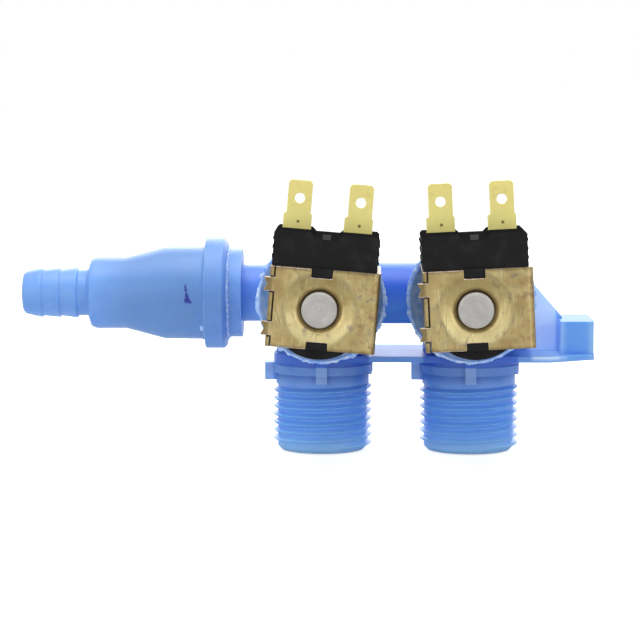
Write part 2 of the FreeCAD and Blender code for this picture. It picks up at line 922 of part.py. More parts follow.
def make_terminal(side, which, sign):
    """One brass spade terminal."""
    body = new_body(f"terminal_{side}_{which}")
    blade = sketch_on(body, "XZ_Plane", terminal_plane("-"))
    x = f"head_shift {sign} terminal_pitch / 2"
    half = "terminal_width / 2"
    broad = "shoulder_width / 2"
    shoulder = "head_top + shoulder_height"
    outline(
        blade,
        [
            (f"{x} - shoulder_shift - {broad}", "terminal_foot"),
            (f"{x} - shoulder_shift + {broad}", "terminal_foot"),
            (f"{x} - shoulder_shift + {broad}", f"{shoulder} - shoulder_corner"),
            (f"{x} + {half}", shoulder),
            (f"{x} + {half}", "terminal_tip - terminal_point"),
            (f"{x} + {half} - terminal_point_width", "terminal_tip"),
            (f"{x} - {half} + terminal_point_width", "terminal_tip"),
            (f"{x} - {half}", "terminal_tip - terminal_point"),
            (f"{x} - {half}", shoulder),
            (f"{x} - shoulder_shift - {broad}", f"{shoulder} - shoulder_corner"),
        ],
    )
    extrude(body, "Pad", blade, "terminal_thickness")
    hole = sketch_on(body, "XZ_Plane", terminal_plane("+"))
    circle(hole, x, "terminal_tip - terminal_hole_drop", "terminal_hole")
    extrude(body, "Pocket", hole, "terminal_thickness")
    seat_on_axis(body, side)


def make_bracket(side):
    """The folded steel frame: one strip bent round the coil and hooked shut at the left."""
    body = new_body(f"bracket_{side}")
    left = "bracket_shift - bracket_width / 2"
    right = "bracket_shift + bracket_width / 2"
    face = "-bracket_face"
    rear = "-bowl_face - guide_flange_thickness"
    sheet_in = "sheet_thickness"

    strip = sketch_on(body, "XY_Plane")
    outline(
        strip,
        [
            (f"{left} + {sheet_in} + joint_gap", face),
            (right, face),
            (right, rear),
            (left, rear),
            (left, face),
            (f"{left} + {sheet_in}", face),
            (f"{left} + {sheet_in}", f"{rear} - {sheet_in}"),
            (f"{right} - {sheet_in}", f"{rear} - {sheet_in}"),
            (f"{right} - {sheet_in}", f"{face} + {sheet_in}"),
            (f"{left} + {sheet_in} + joint_gap", f"{face} + {sheet_in}"),
        ],
    )
    extrude(body, "Pad", strip, "bracket_height", midplane=True)

    corners = [
        (number(right), number(face)),
        (number(right), number(rear)),
        (number(left), number(rear)),
    ]
    round_edges(
        body,
        "Fillet",
        "fold_radius",
        lambda edge: is_upright(edge)
        and any(
            abs(mean(edge, "x") - x) < 1e-3 and abs(mean(edge, "y") - y) < 1e-3
            for x, y in corners
        ),
    )
    inner = [
        (number(f"{right} - {sheet_in}"), number(f"{face} + {sheet_in}")),
        (number(f"{right} - {sheet_in}"), number(f"{rear} - {sheet_in}")),
        (number(f"{left} + {sheet_in}"), number(f"{rear} - {sheet_in}")),
    ]
    round_edges(
        body,
        "Fillet",
        "fold_radius - sheet_thickness",
        lambda edge: is_upright(edge)
        and any(
            abs(mean(edge, "x") - x) < 1e-3 and abs(mean(edge, "y") - y) < 1e-3
            for x, y in inner
        ),
    )

    gates = sketch_on(body, "YZ_Plane", f"{left} + {sheet_in}")
    tabs = sketch_on(body, "XZ_Plane", "bracket_face - sheet_thickness")
    for sign in ("-", ""):
        level = f"{sign}joint_tab_offset"
        rectangle(
            gates,
            face,
            f"{face} + {sheet_in} + joint_gap",
            f"{level} - joint_tab_height / 2 - joint_gap",
            f"{level} + joint_tab_height / 2 + joint_gap",
        )
        outline(
            tabs,
            [
                (f"{left} + {sheet_in} + cut_overrun", f"{level} - joint_tab_height / 2"),
                (f"{left} + {sheet_in} + cut_overrun", f"{level} + joint_tab_height / 2"),
                (f"{left} - joint_tab_proud", f"{level} + joint_tab_height / 2"),
                (f"{left} - joint_tab_proud + joint_tab_split", level),
                (f"{left} - joint_tab_proud", f"{level} - joint_tab_height / 2"),
            ],
        )
    extrude(body, "Pocket", gates, "sheet_thickness")
    extrude(body, "Pad", tabs, "sheet_thickness")

    drawn_root = "drawn_hole + drawn_wall"
    for name, plane, way in (
        ("front", "bracket_face", "-"),
        ("rear", "bowl_face + guide_flange_thickness", "+"),
    ):
        wall = sketch_on(body, "XY_Plane")
        outline(
            wall,
            [
                ("drawn_hole", f"-({plane})"),
                ("drawn_mouth", f"-({plane})"),
                ("drawn_mouth", f"-({plane} {way} sheet_thickness)"),
                (drawn_root, f"-({plane} {way} sheet_thickness)"),
                (drawn_root, f"-({plane} {way} drawn_length)"),
                ("drawn_hole", f"-({plane} {way} drawn_length)"),
            ],
        )
        turn(body, "Revolution", wall, "V_Axis")
        flare = sketch_on(body, "XY_Plane")
        bend = "(drawn_mouth - drawn_hole)"
        mouth = []
        for angle in (0, 22.5, 45, 67.5, 90):
            inward = f"{math.sin(math.radians(angle)):.4f}"
            deeper = f"{1 - math.cos(math.radians(angle)):.4f}"
            mouth.append(
                (
                    f"drawn_mouth - {inward} * {bend}",
                    f"-({plane} {way} {deeper} * {bend})",
                )
            )
        outline(
            flare,
            [
                ("0", f"-({plane})"),
                *mouth,
                ("drawn_hole", f"-({plane} {way} drawn_length)"),
                ("0", f"-({plane} {way} drawn_length)"),
            ],
        )
        turn(body, "Groove", flare, "V_Axis")

    notches = sketch_on(body, "XZ_Plane", "bracket_face")
    rectangle(
        notches,
        "-notch_width / 2",
        "notch_width / 2",
        "bracket_height / 2 - top_notch",
        "bracket_height / 2 + cut_overrun",
    )
    rectangle(
        notches,
        "-notch_width / 2",
        "notch_width / 2",
        "-bracket_height / 2 - cut_overrun",
        "-bracket_height / 2 + bottom_notch",
    )
    extrude(body, "Pocket", notches, "sheet_thickness")
    seat_on_axis(body, side)


def make_screen(side):
    """The strainer pressed into an inlet: a rim, and a windowed cone that points inwards."""
    body = new_body(f"inlet_screen_{side}")
    profile = sketch_on(body, "XZ_Plane")
    rim = "-spigot_length + screen_seat_depth - screen_flange"
    rim_top = "-spigot_length + screen_seat_depth"
    tip = f"{rim_top} + screen_length"
    outline(
        profile,
        [
            ("screen_flange_inner", rim),
            ("screen_seat_radius - screen_clearance", rim),
            ("screen_seat_radius - screen_clearance", rim_top),
            ("screen_basket_radius + screen_wall", rim_top),
            ("screen_tip_radius + screen_wall", tip),
            ("0", tip),
            ("0", f"{tip} - screen_wall"),
            ("screen_tip_radius", f"{tip} - screen_wall"),
            ("screen_flange_inner", rim_top),
        ],
    )
    turn(body, "Revolution", profile, "V_Axis")

    window = sketch_on(body, "XZ_Plane")
    rectangle(
        window,
        "-screen_window_width / 2",
        "screen_window_width / 2",
        f"{rim_top} + 2",
        f"{tip} - 2",
    )
    cut = extrude(body, "Pocket", window, "screen_seat_radius", backwards=True)
    pattern = body.newObject("PartDesign::PolarPattern", f"{body.Name}_pattern")
    pattern.Originals = [cut]
    pattern.Axis = (profile, ["V_Axis"])
    pattern.Angle = 360
    pattern.setExpression("Occurrences", bound("screen_windows"))
    body.Tip = pattern
    sign = "-" if side == "left" else ""
    place(body, across=f"{sign}inlet_spacing / 2")


make_valve_body()
make_outlet_bell()
make_flow_washer()
for side in ("left", "right"):
    make_screen(side)
    make_diaphragm(side)
    make_insert(side)
    make_guide(side)
    make_armature(side)
    make_sleeve(side)
    make_bobbin(side)
    make_coil(side)
    make_terminal(side, "one", "-")
    make_terminal(side, "two", "+")
    make_bracket(side)

doc.recompute()
for item in doc.Objects:
    if "Invalid" in item.State or "Error" in item.State:
        raise RuntimeError(f"{item.Label} did not recompute: {item.State}")
for node in nodes:
    if node.Shape.isNull() or not node.Shape.isValid():
        raise RuntimeError(f"{node.Label} has no valid shape")

os.makedirs("parts", exist_ok=True)
for node in nodes:
    node.Shape.exportStep(os.path.join("parts", f"{node.Label}.step"))
    print(node.Label, len(node.Shape.Solids), round(node.Shape.Volume, 2))
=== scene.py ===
# %% [markdown]
# A washing machine inlet valve, seen square on: a blue moulded manifold with two hose
# threads below, two solenoids in front, and a barbed outlet bell at the left. The measured
# solids arrive as a fixed frame. Their shapes stay as they are, and this script gives each
# one its finish, adds the threads and weld flash that moulding and welding leave, and lights it.

# %% Load the measured solids
import math

import bmesh
import bpy
from mathutils import Matrix, Vector, noise


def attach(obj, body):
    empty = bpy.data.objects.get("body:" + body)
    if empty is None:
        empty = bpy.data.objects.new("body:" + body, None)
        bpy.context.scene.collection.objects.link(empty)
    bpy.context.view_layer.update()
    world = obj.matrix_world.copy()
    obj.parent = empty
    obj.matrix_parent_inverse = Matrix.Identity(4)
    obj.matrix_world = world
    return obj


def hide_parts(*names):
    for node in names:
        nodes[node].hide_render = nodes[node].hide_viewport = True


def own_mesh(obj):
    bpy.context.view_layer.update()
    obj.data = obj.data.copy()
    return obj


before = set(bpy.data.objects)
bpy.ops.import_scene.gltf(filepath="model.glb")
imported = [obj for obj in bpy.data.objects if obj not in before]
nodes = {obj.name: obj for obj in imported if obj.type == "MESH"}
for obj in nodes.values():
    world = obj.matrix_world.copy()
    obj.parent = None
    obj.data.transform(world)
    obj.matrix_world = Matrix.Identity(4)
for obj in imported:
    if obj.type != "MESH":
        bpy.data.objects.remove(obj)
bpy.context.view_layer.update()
print("nodes:", len(nodes))

# %% [markdown]
# All sizes are real ones in millimetres, and the scene is in metres, so one factor joins
# them. The places that several pieces share are named once: the inlets' spacing, the height
# of the solenoid axes, and the two small turns that the coils have about those axes.

# %% Shared places
MM = 0.001
INLET_X = {"left": -20.0, "right": 20.0}
COIL_TURN = {"left": 4.6, "right": -2.9}
AXIS_RISE = 17.2
PIPE_SETBACK = 4.0
PIPE_RADIUS = 8.4
BOWL_FACE = 16.0


def on_coil(side):
    """Matrix from a solenoid's own axes (Y along the axis) to the valve, in metres."""
    place = Vector((INLET_X[side], 0, AXIS_RISE)) * MM
    turn = Matrix.Rotation(math.radians(COIL_TURN[side]), 4, "Y")
    return Matrix.Translation(place) @ turn @ Matrix.Scale(MM, 4)


def on_pipe():
    """Matrix from the outlet pipe's own axes (X along the pipe) to the valve, in metres."""
    place = Vector((0, PIPE_SETBACK, AXIS_RISE)) * MM
    return Matrix.Translation(place) @ Matrix.Scale(MM, 4)


def on_inlet(side):
    """Matrix from a threaded inlet's own axes (Z along the spigot) to the valve, in metres."""
    place = Vector((INLET_X[side], 0, 0)) * MM
    return Matrix.Translation(place) @ Matrix.Scale(MM, 4)


print("inlets at x:", INLET_X, "mm, coils turned:", COIL_TURN, "degrees")


# %% [markdown]
# A colour is written as the hex value that a colour picker reads off a screen. Shaders add
# light in linear values, so one function turns the first into the second. One more small
# function adds a node, with its settings and what goes into it, and gives back one of its
# outputs, so that the next node can take it. Every finish below is built with these two.

# %% Colour and node helpers
def linear(code):
    """Turn an sRGB hex colour into the linear values that shaders add up."""
    parts = [int(code[i : i + 2], 16) / 255 for i in (1, 3, 5)]
    return (*[c / 12.92 if c <= 0.04045 else ((c + 0.055) / 1.055) ** 2.4 for c in parts], 1.0)


def add(tree, kind, inputs=None, out=0, **settings):
    """Add a node, set it up, fill or link its inputs, and give one of its outputs."""
    node = tree.nodes.new("ShaderNode" + kind)
    for key, value in settings.items():
        setattr(node, key, value)
    for key, value in (inputs or {}).items():
        if isinstance(value, bpy.types.NodeSocket):
            tree.links.new(value, node.inputs[key])
        else:
            node.inputs[key].default_value = value
    return node.outputs[out]


def new_finish(name, **sockets):
    """Start a finish: a Principled shader with some sockets set, and Object coordinates."""
    material = bpy.data.materials.new(name)
    material.use_nodes = True
    tree = material.node_tree
    shader = tree.nodes["Principled BSDF"]
    for key, value in sockets.items():
        shader.inputs[key.replace("_", " ")].default_value = value
    return material, tree, shader, add(tree, "TexCoord", out="Object")


def per(size_mm):
    """Texture scale at which one blotch is about this many millimetres wide."""
    return 1 / (size_mm * MM)


print("mid grey in linear light:", round(linear("#808080")[0], 3))


# %% [markdown]
# The blue body is injection-moulded polypropylene. It is slightly translucent: thin edges
# glow pale, and thick places such as the pipe between the bowls hold the light and turn deep
# blue. Subsurface scattering gives part of both. Its reach is only a few millimetres, so soft
# masks paint in the rest: painted shade round the pipe, the necks and the collars, painted
# light on the thin gusset, the ear's borders and the lugs, and a painted glow down the spigots,
# whose walls carry light to their ends. Moulding leaves faint flow streaks along the part and a
# fine sheen, not a mirror. The flat tops of plate and ear are seen almost edge-on, where an
# ideal flat would mirror the backdrop. Real ones sink a little and don't, so the shader bends
# light less there, and painted shade darkens them.

# %% Blue moulded polypropylene
blue, tree, shader, place = new_finish(
    "moulded_blue_polypropylene",
    Roughness=0.4,
    Subsurface_Weight=0.55,
    Subsurface_Radius=(1.2 * MM, 2.2 * MM, 4.2 * MM),
    Subsurface_Scale=1.0,
)
x = add(tree, "SeparateXYZ", {0: place}, out="X")
z = add(tree, "SeparateXYZ", {0: place}, out="Z")
along = add(tree, "Mapping", {"Vector": place, "Scale": (0.35, 1, 1)})
streaks = add(tree, "TexNoise", {"Vector": along, "Scale": per(9.0), "Detail": 3.0})
mottle = add(tree, "TexNoise", {"Vector": place, "Scale": per(2.2), "Detail": 4.0})
share = add(tree, "MapRange", {"Value": streaks, "From Min": 0.3, "From Max": 0.7})
tone = add(
    tree,
    "Mix",
    {0: share, 6: linear("#679BE6"), 7: linear("#7AACF2")},
    out=2,
    data_type="RGBA",
)
share = add(
    tree, "MapRange", {"Value": mottle, "From Min": 0.35, "From Max": 0.75, "To Max": 0.3}
)
tone = add(tree, "Mix", {0: share, 6: tone, 7: linear("#8BB6F6")}, out=2, data_type="RGBA")
print("blue, streaked tone:", len(tree.nodes), "nodes")

# %% [markdown]
# Each place that differs gets a mask: a number from 0 to 1, made from where a point lies. The
# first one marks the pipe's skin by its distance from the pipe's axis and paints shade there,
# deepest between the bowls. It leaves out the bell's side and fades at the crown, which keeps a
# painted highlight. The pipe's lower half gets a paler tone and a glow: painted light, as if lit
# through from below.

# %% Painted shade on the pipe
aside = add(tree, "Math", {0: x}, operation="ABSOLUTE")
middle = add(
    tree,
    "MapRange",
    {"Value": aside, "From Min": 9 * MM, "From Max": 20 * MM, "To Min": 0.92, "To Max": 0.45},
    interpolation_type="SMOOTHSTEP",
)
across = add(
    tree,
    "Mapping",
    {"Vector": place, "Location": (0, -PIPE_SETBACK * MM, -AXIS_RISE * MM), "Scale": (0, 1, 1)},
)
from_axis = add(tree, "VectorMath", {0: across}, out="Value", operation="LENGTH")
on_pipe_skin = add(
    tree,
    "MapRange",
    {
        "Value": from_axis,
        "From Min": (PIPE_RADIUS + 0.15) * MM,
        "From Max": (PIPE_RADIUS + 0.9) * MM,
        "To Min": 1.0,
        "To Max": 0.0,
    },
)
wander = add(
    tree, "Math", {0: streaks, 1: 4 * MM, 2: -2 * MM}, operation="MULTIPLY_ADD"
)
crown = add(tree, "Math", {0: z, 1: wander}, operation="ADD")
# The pipe's painted shade fades at its crown, which keeps a painted highlight.
shade_below_crown = add(
    tree,
    "MapRange",
    {"Value": crown, "From Min": 23.6 * MM, "From Max": 25.0 * MM, "To Min": 1.0, "To Max": 0.2},
    interpolation_type="SMOOTHSTEP",
)
past_bell = add(tree, "MapRange", {"Value": x, "From Min": -42.2 * MM, "From Max": -41.6 * MM})
pipe_shade_and_glow = add(tree, "Math", {0: middle, 1: on_pipe_skin}, operation="MULTIPLY")
pipe_shade_and_glow = add(tree, "Math", {0: pipe_shade_and_glow, 1: past_bell}, operation="MULTIPLY")
# Painted light: the painted shade weakens on the pipe's underside.
underside = add(
    tree,
    "MapRange",
    {"Value": crown, "From Min": 11.4 * MM, "From Max": 12.6 * MM, "To Min": 0.55, "To Max": 1.0},
)
pipe_shade_and_glow = add(tree, "Math", {0: pipe_shade_and_glow, 1: underside}, operation="MULTIPLY")
pipe_shade_and_glow = add(tree, "Math", {0: pipe_shade_and_glow, 1: shade_below_crown}, operation="MULTIPLY")
# The pipe's inner tone pales in its lower half: painted light, as if lit through from below.
lower_half = add(tree, "MapRange", {"Value": z, "From Min": 20 * MM, "From Max": 11 * MM})
inside = add(
    tree,
    "Mix",
    {0: lower_half, 6: linear("#2E70E4"), 7: linear("#6CB4FF")},
    out=2,
    data_type="RGBA",
)
tone = add(tree, "Mix", {0: pipe_shade_and_glow, 6: tone, 7: inside}, out=2, data_type="RGBA")
print("blue, with the pipe:", len(tree.nodes), "nodes")

# %% [markdown]
# Below each bowl lies a thick neck in the bowl's shade; painted shade makes it the deepest blue.

# %% Painted shade on the necks above the spigots
from_inlet = add(tree, "Math", {0: aside, 1: INLET_X["right"] * MM}, operation="SUBTRACT")
from_inlet = add(tree, "Math", {0: from_inlet}, operation="ABSOLUTE")
on_neck = add(
    tree,
    "MapRange",
    {
        "Value": from_inlet,
        "From Min": 12.3 * MM,
        "From Max": 13.2 * MM,
        "To Min": 1.0,
        "To Max": 0.0,
    },
)
below_bowl = add(
    tree, "MapRange", {"Value": z, "From Min": -1.6 * MM, "From Max": -1.3 * MM, "To Max": 0.85}
)
# Painted shade under each bowl.
shade_under_bowl = add(tree, "Math", {0: on_neck, 1: below_bowl}, operation="MULTIPLY")
neck_end = add(
    tree,
    "MapRange",
    {"Value": z, "From Min": 6 * MM, "From Max": 10 * MM, "To Min": 1.0, "To Max": 0.0},
)
shade_under_bowl = add(tree, "Math", {0: shade_under_bowl, 1: neck_end}, operation="MULTIPLY")
tone = add(tree, "Mix", {0: shade_under_bowl, 6: tone, 7: linear("#2F66D2")}, out=2, data_type="RGBA")
print("blue, with the necks:", len(tree.nodes), "nodes")

# %% [markdown]
# The web between bowl and ear is only 3 mm thick, and a painted glow keeps it pale. The ear is
# a thicker block with a screw hole up its middle: painted shade gives its middle a more
# saturated blue, and painted light pales it towards its borders. The flat tops get painted shade.

# %% Web, ear and flat tops, with painted light and shade
webbed = add(
    tree, "MapRange", {"Value": x, "From Min": 35.8 * MM, "From Max": 37.2 * MM, "To Max": 0.8}
)
to_ear = add(
    tree,
    "MapRange",
    {"Value": x, "From Min": 43.5 * MM, "From Max": 46.5 * MM, "To Min": 1.0, "To Max": 0.0},
)
web_painted_glow = add(tree, "Math", {0: webbed, 1: to_ear}, operation="MULTIPLY")
off_plate = add(
    tree, "MapRange", {"Value": z, "From Min": 0.2 * MM, "From Max": 1.2 * MM}
)
higher = add(
    tree,
    "MapRange",
    {"Value": z, "From Min": 8 * MM, "From Max": 13 * MM, "To Min": 0.9, "To Max": 1.0},
    interpolation_type="SMOOTHSTEP",
)
web_painted_glow = add(tree, "Math", {0: web_painted_glow, 1: higher}, operation="MULTIPLY")
web_painted_glow = add(tree, "Math", {0: web_painted_glow, 1: off_plate}, operation="MULTIPLY")
# Painted glow: the thin web turns pale.
tone = add(tree, "Mix", {0: web_painted_glow, 6: tone, 7: linear("#D6E9FF")}, out=2, data_type="RGBA")
on_ear = add(
    tree, "MapRange", {"Value": x, "From Min": 43.5 * MM, "From Max": 45.5 * MM, "To Max": 0.8}
)
on_ear = add(tree, "Math", {0: on_ear, 1: off_plate}, operation="MULTIPLY")
# Painted shade: a more saturated blue on the ear's thick middle.
tone = add(tree, "Mix", {0: on_ear, 6: tone, 7: linear("#6CB0FA")}, out=2, data_type="RGBA")
from_core = add(tree, "Math", {0: x, 1: 49 * MM}, operation="SUBTRACT")
from_core = add(tree, "Math", {0: from_core}, operation="ABSOLUTE")
ear_border_painted_light = add(
    tree,
    "MapRange",
    {"Value": from_core, "From Min": 2.2 * MM, "From Max": 4.2 * MM, "To Max": 0.7},
    interpolation_type="SMOOTHSTEP",
)
ear_border_painted_light = add(tree, "Math", {0: ear_border_painted_light, 1: on_ear}, operation="MULTIPLY")
# Painted light: the ear pales towards its borders.
tone = add(tree, "Mix", {0: ear_border_painted_light, 6: tone, 7: linear("#A4CCFA")}, out=2, data_type="RGBA")
ear_top = add(
    tree, "MapRange", {"Value": z, "From Min": 10.2 * MM, "From Max": 10.35 * MM}
)
ear_top = add(tree, "Math", {0: ear_top, 1: on_ear}, operation="MULTIPLY")
# Painted shade on the ear's flat top.
tone = add(tree, "Mix", {0: ear_top, 6: tone, 7: linear("#5F8FD0")}, out=2, data_type="RGBA")
from_plate_top = add(tree, "Math", {0: z, 1: 1.6 * MM}, operation="SUBTRACT")
from_plate_top = add(tree, "Math", {0: from_plate_top}, operation="ABSOLUTE")
plate_top = add(
    tree,
    "MapRange",
    {
        "Value": from_plate_top,
        "From Min": 0.03 * MM,
        "From Max": 0.12 * MM,
        "To Min": 0.8,
        "To Max": 0.0,
    },
)
# Painted shade along the plate's flat top.
tone = add(tree, "Mix", {0: plate_top, 6: tone, 7: linear("#6C93D0")}, out=2, data_type="RGBA")
print("blue, with web and ear:", len(tree.nodes), "nodes")

# %% [markdown]
# The spigots' walls lead light down to their ends. A paler tone and a faint glow of its own
# stand in for that, and for the light in the web and the pipe's lower half.

# %% Light down the spigots
low = add(
    tree,
    "MapRange",
    {"Value": z, "From Min": -5.2 * MM, "From Max": -14 * MM, "To Min": 0.0, "To Max": 0.85},
)
tone = add(tree, "Mix", {0: low, 6: tone, 7: linear("#74B0FA")}, out=2, data_type="RGBA")
lowest = add(
    tree,
    "MapRange",
    {"Value": z, "From Min": -17 * MM, "From Max": -25 * MM, "To Min": 0.0, "To Max": 0.8},
)
tone = add(tree, "Mix", {0: lowest, 6: tone, 7: linear("#9CCCFF")}, out=2, data_type="RGBA")
glow = add(tree, "Math", {0: low, 1: lowest}, operation="ADD")
glow = add(tree, "Math", {0: glow, 1: 0.075}, operation="MULTIPLY")
glow = add(tree, "Math", {0: web_painted_glow, 1: 0.2, 2: glow}, operation="MULTIPLY_ADD")
# The pipe's painted shade, kept to its lower half, also drives a painted glow there.
pipe_shade_and_glow = add(tree, "Math", {0: pipe_shade_and_glow, 1: lower_half}, operation="MULTIPLY")
glow = add(tree, "Math", {0: pipe_shade_and_glow, 1: 0.16, 2: glow}, operation="MULTIPLY_ADD")
tree.links.new(glow, shader.inputs["Emission Strength"])
print("blue, with the spigots:", len(tree.nodes), "nodes")

# %% [markdown]
# The collar's band lies in the shade of the bowl, painted on it, and painted shade darkens the
# recess under it. The lugs at its rim are thin, and painted light keeps them pale. Fine grain in
# the skin breaks up the shine.

# %% Collars and lugs, with painted shade and light, and the last links
from_band = add(tree, "Math", {0: z, 1: 2.65 * MM}, operation="ADD")
from_band = add(tree, "Math", {0: from_band}, operation="ABSOLUTE")
shade_on_band = add(
    tree,
    "MapRange",
    {"Value": from_band, "From Min": 1.1 * MM, "From Max": 1.2 * MM, "To Min": 0.45, "To Max": 0.0},
)
# Painted shade of the bowl on the collar's band.
tone = add(tree, "Mix", {0: shade_on_band, 6: tone, 7: linear("#4C79C0")}, out=2, data_type="RGBA")
y = add(tree, "SeparateXYZ", {0: place}, out="Y")
under_band = add(
    tree, "MapRange", {"Value": z, "From Min": -3.78 * MM, "From Max": -3.86 * MM}
)
above_relief = add(
    tree,
    "MapRange",
    {"Value": z, "From Min": -4.4 * MM, "From Max": -6.4 * MM, "To Min": 0.7, "To Max": 0.0},
)
painted_shade_under_band = add(tree, "Math", {0: under_band, 1: above_relief}, operation="MULTIPLY")
painted_shade_under_band = add(tree, "Math", {0: painted_shade_under_band, 1: on_neck}, operation="MULTIPLY")
# Painted shade in the recess under the band.
tone = add(tree, "Mix", {0: painted_shade_under_band, 6: tone, 7: linear("#3468C4")}, out=2, data_type="RGBA")
lug_out = add(
    tree, "MapRange", {"Value": from_inlet, "From Min": 13.3 * MM, "From Max": 13.6 * MM}
)
lug_low = add(
    tree, "MapRange", {"Value": z, "From Min": -1.0 * MM, "From Max": -1.3 * MM, "To Max": 0.6}
)
lug_painted_light = add(tree, "Math", {0: lug_out, 1: lug_low}, operation="MULTIPLY")
lug_end = add(tree, "MapRange", {"Value": z, "From Min": -6.2 * MM, "From Max": -6.0 * MM})
lug_painted_light = add(tree, "Math", {0: lug_painted_light, 1: lug_end}, operation="MULTIPLY")
# Painted light: the thin lugs stay pale.
tone = add(tree, "Mix", {0: lug_painted_light, 6: tone, 7: linear("#A9CBF8")}, out=2, data_type="RGBA")
key_front = add(tree, "MapRange", {"Value": y, "From Min": -13.75 * MM, "From Max": -13.85 * MM})
key_side = add(
    tree,
    "MapRange",
    {"Value": from_inlet, "From Min": 1.5 * MM, "From Max": 1.6 * MM, "To Min": 0.4, "To Max": 0.0},
)
key_low = add(tree, "MapRange", {"Value": z, "From Min": -1.3 * MM, "From Max": -1.5 * MM})
key = add(tree, "Math", {0: key_front, 1: key_side}, operation="MULTIPLY")
key = add(tree, "Math", {0: key, 1: key_low}, operation="MULTIPLY")
# Painted light: the front lug stays pale.
tone = add(tree, "Mix", {0: key, 6: tone, 7: linear("#B5D4FA")}, out=2, data_type="RGBA")
tree.links.new(tone, shader.inputs["Emission Color"])
tree.links.new(tone, shader.inputs["Base Color"])
flat_top = add(tree, "Math", {0: ear_top, 1: plate_top}, operation="MAXIMUM")
bending = add(tree, "MapRange", {"Value": flat_top, "To Min": 1.49, "To Max": 1.08})
tree.links.new(bending, shader.inputs["IOR"])
grain = add(tree, "TexNoise", {"Vector": place, "Scale": per(0.35), "Detail": 2.0})
bump = add(tree, "Bump", {"Height": grain, "Distance": 0.012 * MM})
tree.links.new(bump, shader.inputs["Normal"])
print(blue.name, "nodes:", len(tree.nodes))

# %% [markdown]
# The bell is the same plastic in a second moulding. Someone marked it with a pen: a short
# violet tick that starts thin and ends wide. The mark is drawn by how far a point lies from
# a short line, in millimetres. The tick widens downward, noise frays its rim, and it only
# counts on the side that faces forward.

# %% The bell's finish, with the pen mark
bell_blue = blue.copy()
bell_blue.name = "moulded_blue_polypropylene_marked"
tree = bell_blue.node_tree
shader = tree.nodes["Principled BSDF"]
plain = shader.inputs["Base Color"].links[0].from_socket
place = add(tree, "TexCoord", out="Object")
TICK_X = -57.0
TICK_TOP = 20.4
TICK_LENGTH = 4.9
x = add(tree, "SeparateXYZ", {0: place}, out="X")
y = add(tree, "SeparateXYZ", {0: place}, out="Y")
z = add(tree, "SeparateXYZ", {0: place}, out="Z")
# Painted shade: the bell's thick belly turns a darker blue.
from_belly = add(tree, "Math", {0: x, 1: -64 * MM}, operation="SUBTRACT")
from_belly = add(tree, "Math", {0: from_belly}, operation="ABSOLUTE")
belly_painted_shade = add(
    tree,
    "MapRange",
    {"Value": from_belly, "From Min": 8 * MM, "From Max": 19 * MM, "To Min": 0.6, "To Max": 0.0},
)
plain = add(tree, "Mix", {0: belly_painted_shade, 6: plain, 7: linear("#5F8DC8")}, out=2, data_type="RGBA")
down = add(
    tree,
    "MapRange",
    {"Value": z, "From Min": TICK_TOP * MM, "From Max": (TICK_TOP - TICK_LENGTH) * MM},
)
fray = add(tree, "TexNoise", {"Vector": place, "Scale": per(0.7), "Detail": 3.0})
line = add(
    tree, "Math", {0: down, 1: 0.7 * MM, 2: TICK_X * MM}, operation="MULTIPLY_ADD"
)
away = add(tree, "Math", {0: x, 1: line}, operation="SUBTRACT")
away = add(tree, "Math", {0: away}, operation="ABSOLUTE")
shake = add(
    tree,
    "MapRange",
    {"Value": fray, "From Min": 0.25, "From Max": 0.75, "To Min": -0.3 * MM, "To Max": 0.3 * MM},
)
away = add(tree, "Math", {0: away, 1: shake}, operation="ADD")
swell = add(tree, "Math", {0: down, 1: 3.0}, operation="POWER")
width = add(
    tree, "Math", {0: swell, 1: 0.9 * MM, 2: 0.32 * MM}, operation="MULTIPLY_ADD"
)
inside = add(tree, "Math", {0: width, 1: away}, operation="SUBTRACT")
ink = add(tree, "MapRange", {"Value": inside, "From Min": -0.1 * MM, "From Max": 0.25 * MM})
from_top = add(
    tree, "MapRange", {"Value": z, "From Min": (TICK_TOP + 0.2) * MM, "From Max": TICK_TOP * MM}
)
ragged_end = add(
    tree,
    "Math",
    {0: shake, 1: 1.5, 2: (TICK_TOP - TICK_LENGTH) * MM},
    operation="MULTIPLY_ADD",
)
above_end = add(tree, "Math", {0: z, 1: ragged_end}, operation="SUBTRACT")
to_end = add(tree, "MapRange", {"Value": above_end, "From Min": -0.3 * MM, "From Max": 0.3 * MM})
front = add(tree, "MapRange", {"Value": y, "From Min": -3 * MM, "From Max": -4 * MM})
ink = add(tree, "Math", {0: ink, 1: from_top}, operation="MULTIPLY")
ink = add(tree, "Math", {0: ink, 1: to_end}, operation="MULTIPLY")
ink = add(tree, "Math", {0: ink, 1: front}, operation="MULTIPLY")
ink = add(tree, "Math", {0: ink, 1: 0.93}, operation="MULTIPLY")
inked = add(tree, "Mix", {0: ink, 6: plain, 7: linear("#1A1A9C")}, out=2, data_type="RGBA")
tree.links.new(inked, shader.inputs["Base Color"])
print(bell_blue.name, "nodes:", len(tree.nodes))

# %% [markdown]
# Where two mouldings are spun together, friction melts the joint and squeezes out a ragged
# lip of flash. It is thinner than the walls, so light comes through from behind and it looks
# pale even where it lies in shade. A little light of its own stands in for that.

